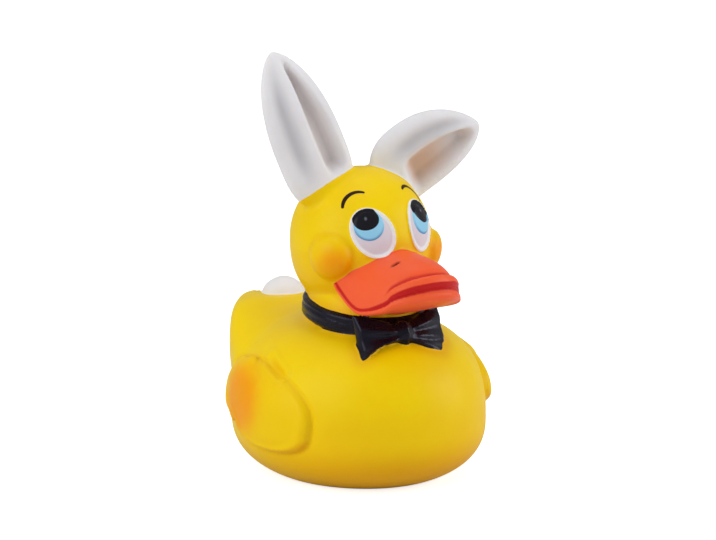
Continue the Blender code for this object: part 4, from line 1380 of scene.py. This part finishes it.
# How far fields are measured, what counts as one surface, and by how much and how often fields and skin
# are drawn to their neighbours' mean
FIELD_REACH, SAME_SURFACE, NOSTRIL_BELOW = 7.0 * MM, 0.3 * MM, 7.0 * MM
FIELD_STEADYING, SKIN_STEADYING, IRIS_FACING_UP_RAMP = (0.5, 4), (0.35, 2), (0.0, 0.5)
WING_GROOVE_PLACE, DETAIL_CLEAR = (0.9, 0.9), 2.0 * MM
SOFT_BOXES = {
    "left box": ((-0.80, -0.10, 0.48), 0.7, 3.7),
    "right box": ((0.78, -0.56, 0.36), 0.6, 4.3),
    "top box": ((0.0, 0.1, 0.95), 0.7, 1.8),
}
SOFT_BOX_AIM, STUDIO_LIGHT, FLOOR_HALF = (0.0, 0.0, 0.05), 0.42, 3.0


class DUCK_OT_body(bpy.types.Operator):
    """Shape the body, tail, wings and tuft"""
    bl_idname = "duck.body"
    bl_label = "Body, tail and wings"

    def execute(self, context):
        region("body", 220, 130, body)
        region("tail", 160, 110, tail)
        region("tuft", 64, 40, tuft)
        for name, side in (("left", 1.0), ("right", -1.0)):
            region("wing_" + name, 160, 60, lambda p: wing(p, side))
            region("feather_" + name, 100, 40, lambda p: feather(p, side))
        return {"FINISHED"}


class DUCK_OT_head(bpy.types.Operator):
    """Shape the neck, head, cheeks and eyes"""
    bl_idname = "duck.head"
    bl_label = "Head and face"

    def execute(self, context):
        region("neck", 120, 40, neck)
        region("head", 180, 110, head)
        for name, side in (("left", 1.0), ("right", -1.0)):
            region("cheek_" + name, 80, 40, lambda p: cheek(p, side))
            region("eye_" + name, 100, 40, lambda p: eye_pad(p, EYES[name]))
        return {"FINISHED"}


class DUCK_OT_bill(bpy.types.Operator):
    """Shape the two plates of the bill"""
    bl_idname = "duck.bill"
    bl_label = "Bill"

    def execute(self, context):
        region("upper_bill", 220, 110, upper_bill)
        region("lower_bill", 220, 90, lower_bill)
        return {"FINISHED"}


class DUCK_OT_ears(bpy.types.Operator):
    """Shape the upright and the drooping ear"""
    bl_idname = "duck.ears"
    bl_label = "Ears"

    def execute(self, context):
        for which in ("upright", "drooping"):
            region(which + "_ear", 180, 120, lambda p: ear(p, which))
        return {"FINISHED"}


class DUCK_OT_bow(bpy.types.Operator):
    """Sweep the neck band and shape the bow and its knot"""
    bl_idname = "duck.bow"
    bl_label = "Neck band and bow"

    def execute(self, context):
        s = duck().bow
        band = link(bpy.data.objects.new("neck_band", bpy.data.meshes.new("neck_band")), regions())
        modifier_with(band, band_tree(), {
            "Radius": s.band_radius, "Tilt": s.band_tilt, "Centre": tuple(band_centre()),
            "Width": 2.0 * s.band_half_width, "Thickness": 2.0 * s.band_half_thickness,
        })
        band.data = evaluated_mesh(band)
        band.modifiers.clear()
        region("bow", 140, 160, bow)
        region("knot", 60, 40, knot)
        return {"FINISHED"}


class DUCK_OT_skin(bpy.types.Operator):
    """Cast the regions as one latex skin, press in its relief and paint it"""
    bl_idname = "duck.skin"
    bl_label = "Latex skin"

    def execute(self, context):
        pieces = list(regions().objects)
        mesh = remeshed("latex_skin", pieces, duck().cast.voxel)
        points, edges = points_of(mesh), edges_of(mesh)
        apart = {piece.name: distances(points, piece, FIELD_REACH) for piece in pieces}
        paints = {"bill": BILL_REGIONS, "black": BLACK_REGIONS, "white": WHITE_REGIONS}
        fields = {name: seam_field(apart, names) for name, names in paints.items()}
        high = points[:, 2] > head_centre()[2]
        fields["white"] = np.where(high, np.maximum(fields["white"], below_ear_line(points)), fields["white"])
        steady = relaxed(np.stack(list(fields.values()), axis=1), edges, *FIELD_STEADYING)
        fields = dict(zip(fields, steady.T))
        points = relaxed(points, edges, *SKIN_STEADYING)
        points = soften_seams(points, edges, apart)
        points[:, 2] = np.maximum(points[:, 2], 0.0)
        fields.update(face_fields(points))
        fields.update(bill_fields(points))
        on_bill = fields["bill"] < SAME_SURFACE
        for name in ("groove", "crease", "slit"):
            fields[name] = fields[name] * on_bill
        high = points[:, 2] > head_centre()[2] - NOSTRIL_BELOW
        fields["nostril"] = np.where(on_bill & high, fields["nostril"], FAR * MM)
        beside_wing = np.minimum(apart["wing_left"], apart["wing_right"]) / MM
        fields["wing_groove"] = bump(beside_wing, *WING_GROOVE_PLACE)
        fields.update(ear_fields(points))
        fields["blush"] = blush_field(points)
        # Where the iris faces up, its light blue stays instead of the painted shade at its edge
        fields["iris_facing_up"] = eased(normals_of(mesh)[:, 2], *IRIS_FACING_UP_RAMP)
        # Painted shade where the skin faces down, in the folds and beside the bill, bow and raised pads
        fields["painted_shade"] = painted_shade_field(points, normals_of(mesh), apart)
        fields["band_crease"] = band_creases(points, fields["black"])
        move_points(mesh, points)
        move_points(mesh, press_relief(points, normals_of(mesh), fields))
        move_points(mesh, bored_vent(points_of(mesh)))
        for name in PAINT_FIELDS:
            store(mesh, name, fields[name] / MM)
        for name in ("groove", "crease", "hollow", "valley", "blush", "iris_facing_up", "painted_shade"):
            store(mesh, name, fields[name])
        on_plain = np.minimum(apart["body"], apart["tail"]) < SAME_SURFACE
        detail = [value for name, value in apart.items() if name not in ("body", "tail", "neck")]
        on_plain = on_plain & (np.min(detail, axis=0) > DETAIL_CLEAR)
        mesh = thinned(mesh, on_plain, duck().cast.most_triangles)
        for piece in pieces:
            bpy.data.objects.remove(piece)
        bpy.data.collections.remove(regions())
        mesh.shade_smooth()
        mesh.materials.clear()
        mesh.materials.append(skin_material())
        skin = link(bpy.data.objects.new("latex_skin", mesh))
        pimples = mould_pimples(mesh)
        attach(pimples, "root")
        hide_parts(NODE)
        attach(skin, "root")
        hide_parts(NODE)
        return {"FINISHED"}


class DUCK_OT_stage(bpy.types.Operator):
    """Set up the pale floor, the soft lights and the camera"""
    bl_idname = "duck.stage"
    bl_label = "Stage"

    def execute(self, context):
        scene, s = context.scene, duck().stage
        mesh = bpy.data.meshes.new("floor")
        form = bmesh.new()
        bmesh.ops.create_grid(form, x_segments=1, y_segments=1, size=FLOOR_HALF)
        form.to_mesh(mesh)
        form.free()
        mesh.materials.append(floor_material())
        link(bpy.data.objects.new("floor", mesh))
        back = Vector(heading(math.degrees(s.azimuth), math.degrees(s.elevation)))
        camera = link(bpy.data.objects.new("camera", bpy.data.cameras.new("camera")))
        camera.data.lens = s.lens
        camera.data.clip_end = 20.0
        camera.location = Vector(s.target) + back * s.distance
        camera.rotation_euler = back.to_track_quat("Z", "Y").to_euler()
        scene.camera = camera
        for name, (place, size, power) in SOFT_BOXES.items():
            self.soft_box(name, place, size, power)
        world = scene.world or bpy.data.worlds.new("Studio")
        scene.world = world
        world.use_nodes = True
        nodes = Nodes(world.node_tree)
        background = world.node_tree.nodes["Background"]
        background.inputs["Color"].default_value = (1.0, 1.0, 1.0, 1.0)
        seen = nodes.add("ShaderNodeLightPath").outputs["Is Camera Ray"]
        nodes.join(nodes.ramp(seen, 0.0, 1.0, STUDIO_LIGHT, 1.0), background.inputs["Strength"])
        scene.view_settings.view_transform = "Standard"
        return {"FINISHED"}

    @staticmethod
    def soft_box(name, place, size, power):
        light = bpy.data.lights.new(name, "AREA")
        light.shape = "SQUARE"
        light.size = size
        light.energy = power
        box = link(bpy.data.objects.new(name, light))
        box.location = place
        aim = Vector(place) - Vector(SOFT_BOX_AIM)
        box.rotation_euler = aim.to_track_quat("Z", "Y").to_euler()


class DUCK_PT_maker(bpy.types.Panel):
    """Lists the steps that make the duck"""
    bl_idname = "DUCK_PT_maker"
    bl_label = "Rubber duck"
    bl_space_type = "VIEW_3D"
    bl_region_type = "UI"
    bl_category = "Duck"

    def draw(self, context):
        for step in OPERATORS:
            self.layout.operator(step.bl_idname)
        for group in ("body", "head", "ears", "bow", "paint", "cast", "stage"):
            box = self.layout.box()
            settings = getattr(context.scene.duck, group)
            for name in settings.bl_rna.properties.keys():
                if name not in ("rna_type", "name"):
                    box.prop(settings, name)


OPERATORS = (
    DUCK_OT_body, DUCK_OT_head, DUCK_OT_bill, DUCK_OT_ears, DUCK_OT_bow, DUCK_OT_skin, DUCK_OT_stage,
)
GROUPS = (DuckBody, DuckHead, DuckEars, DuckBow, DuckPaint, DuckCast, DuckStage, Duck)


def register():
    for cls in GROUPS + OPERATORS + (DUCK_PT_maker,):
        bpy.utils.register_class(cls)
    bpy.types.Scene.duck = PointerProperty(type=Duck, name="Duck", description="The rubber duck's settings")


def unregister():
    del bpy.types.Scene.duck
    for cls in reversed(GROUPS + OPERATORS + (DUCK_PT_maker,)):
        bpy.utils.unregister_class(cls)


def main():
    register()
    for step in (bpy.ops.duck.body, bpy.ops.duck.head, bpy.ops.duck.bill, bpy.ops.duck.ears, bpy.ops.duck.bow,
                 bpy.ops.duck.skin, bpy.ops.duck.stage):
        step()


if __name__ == "__main__":
    main()
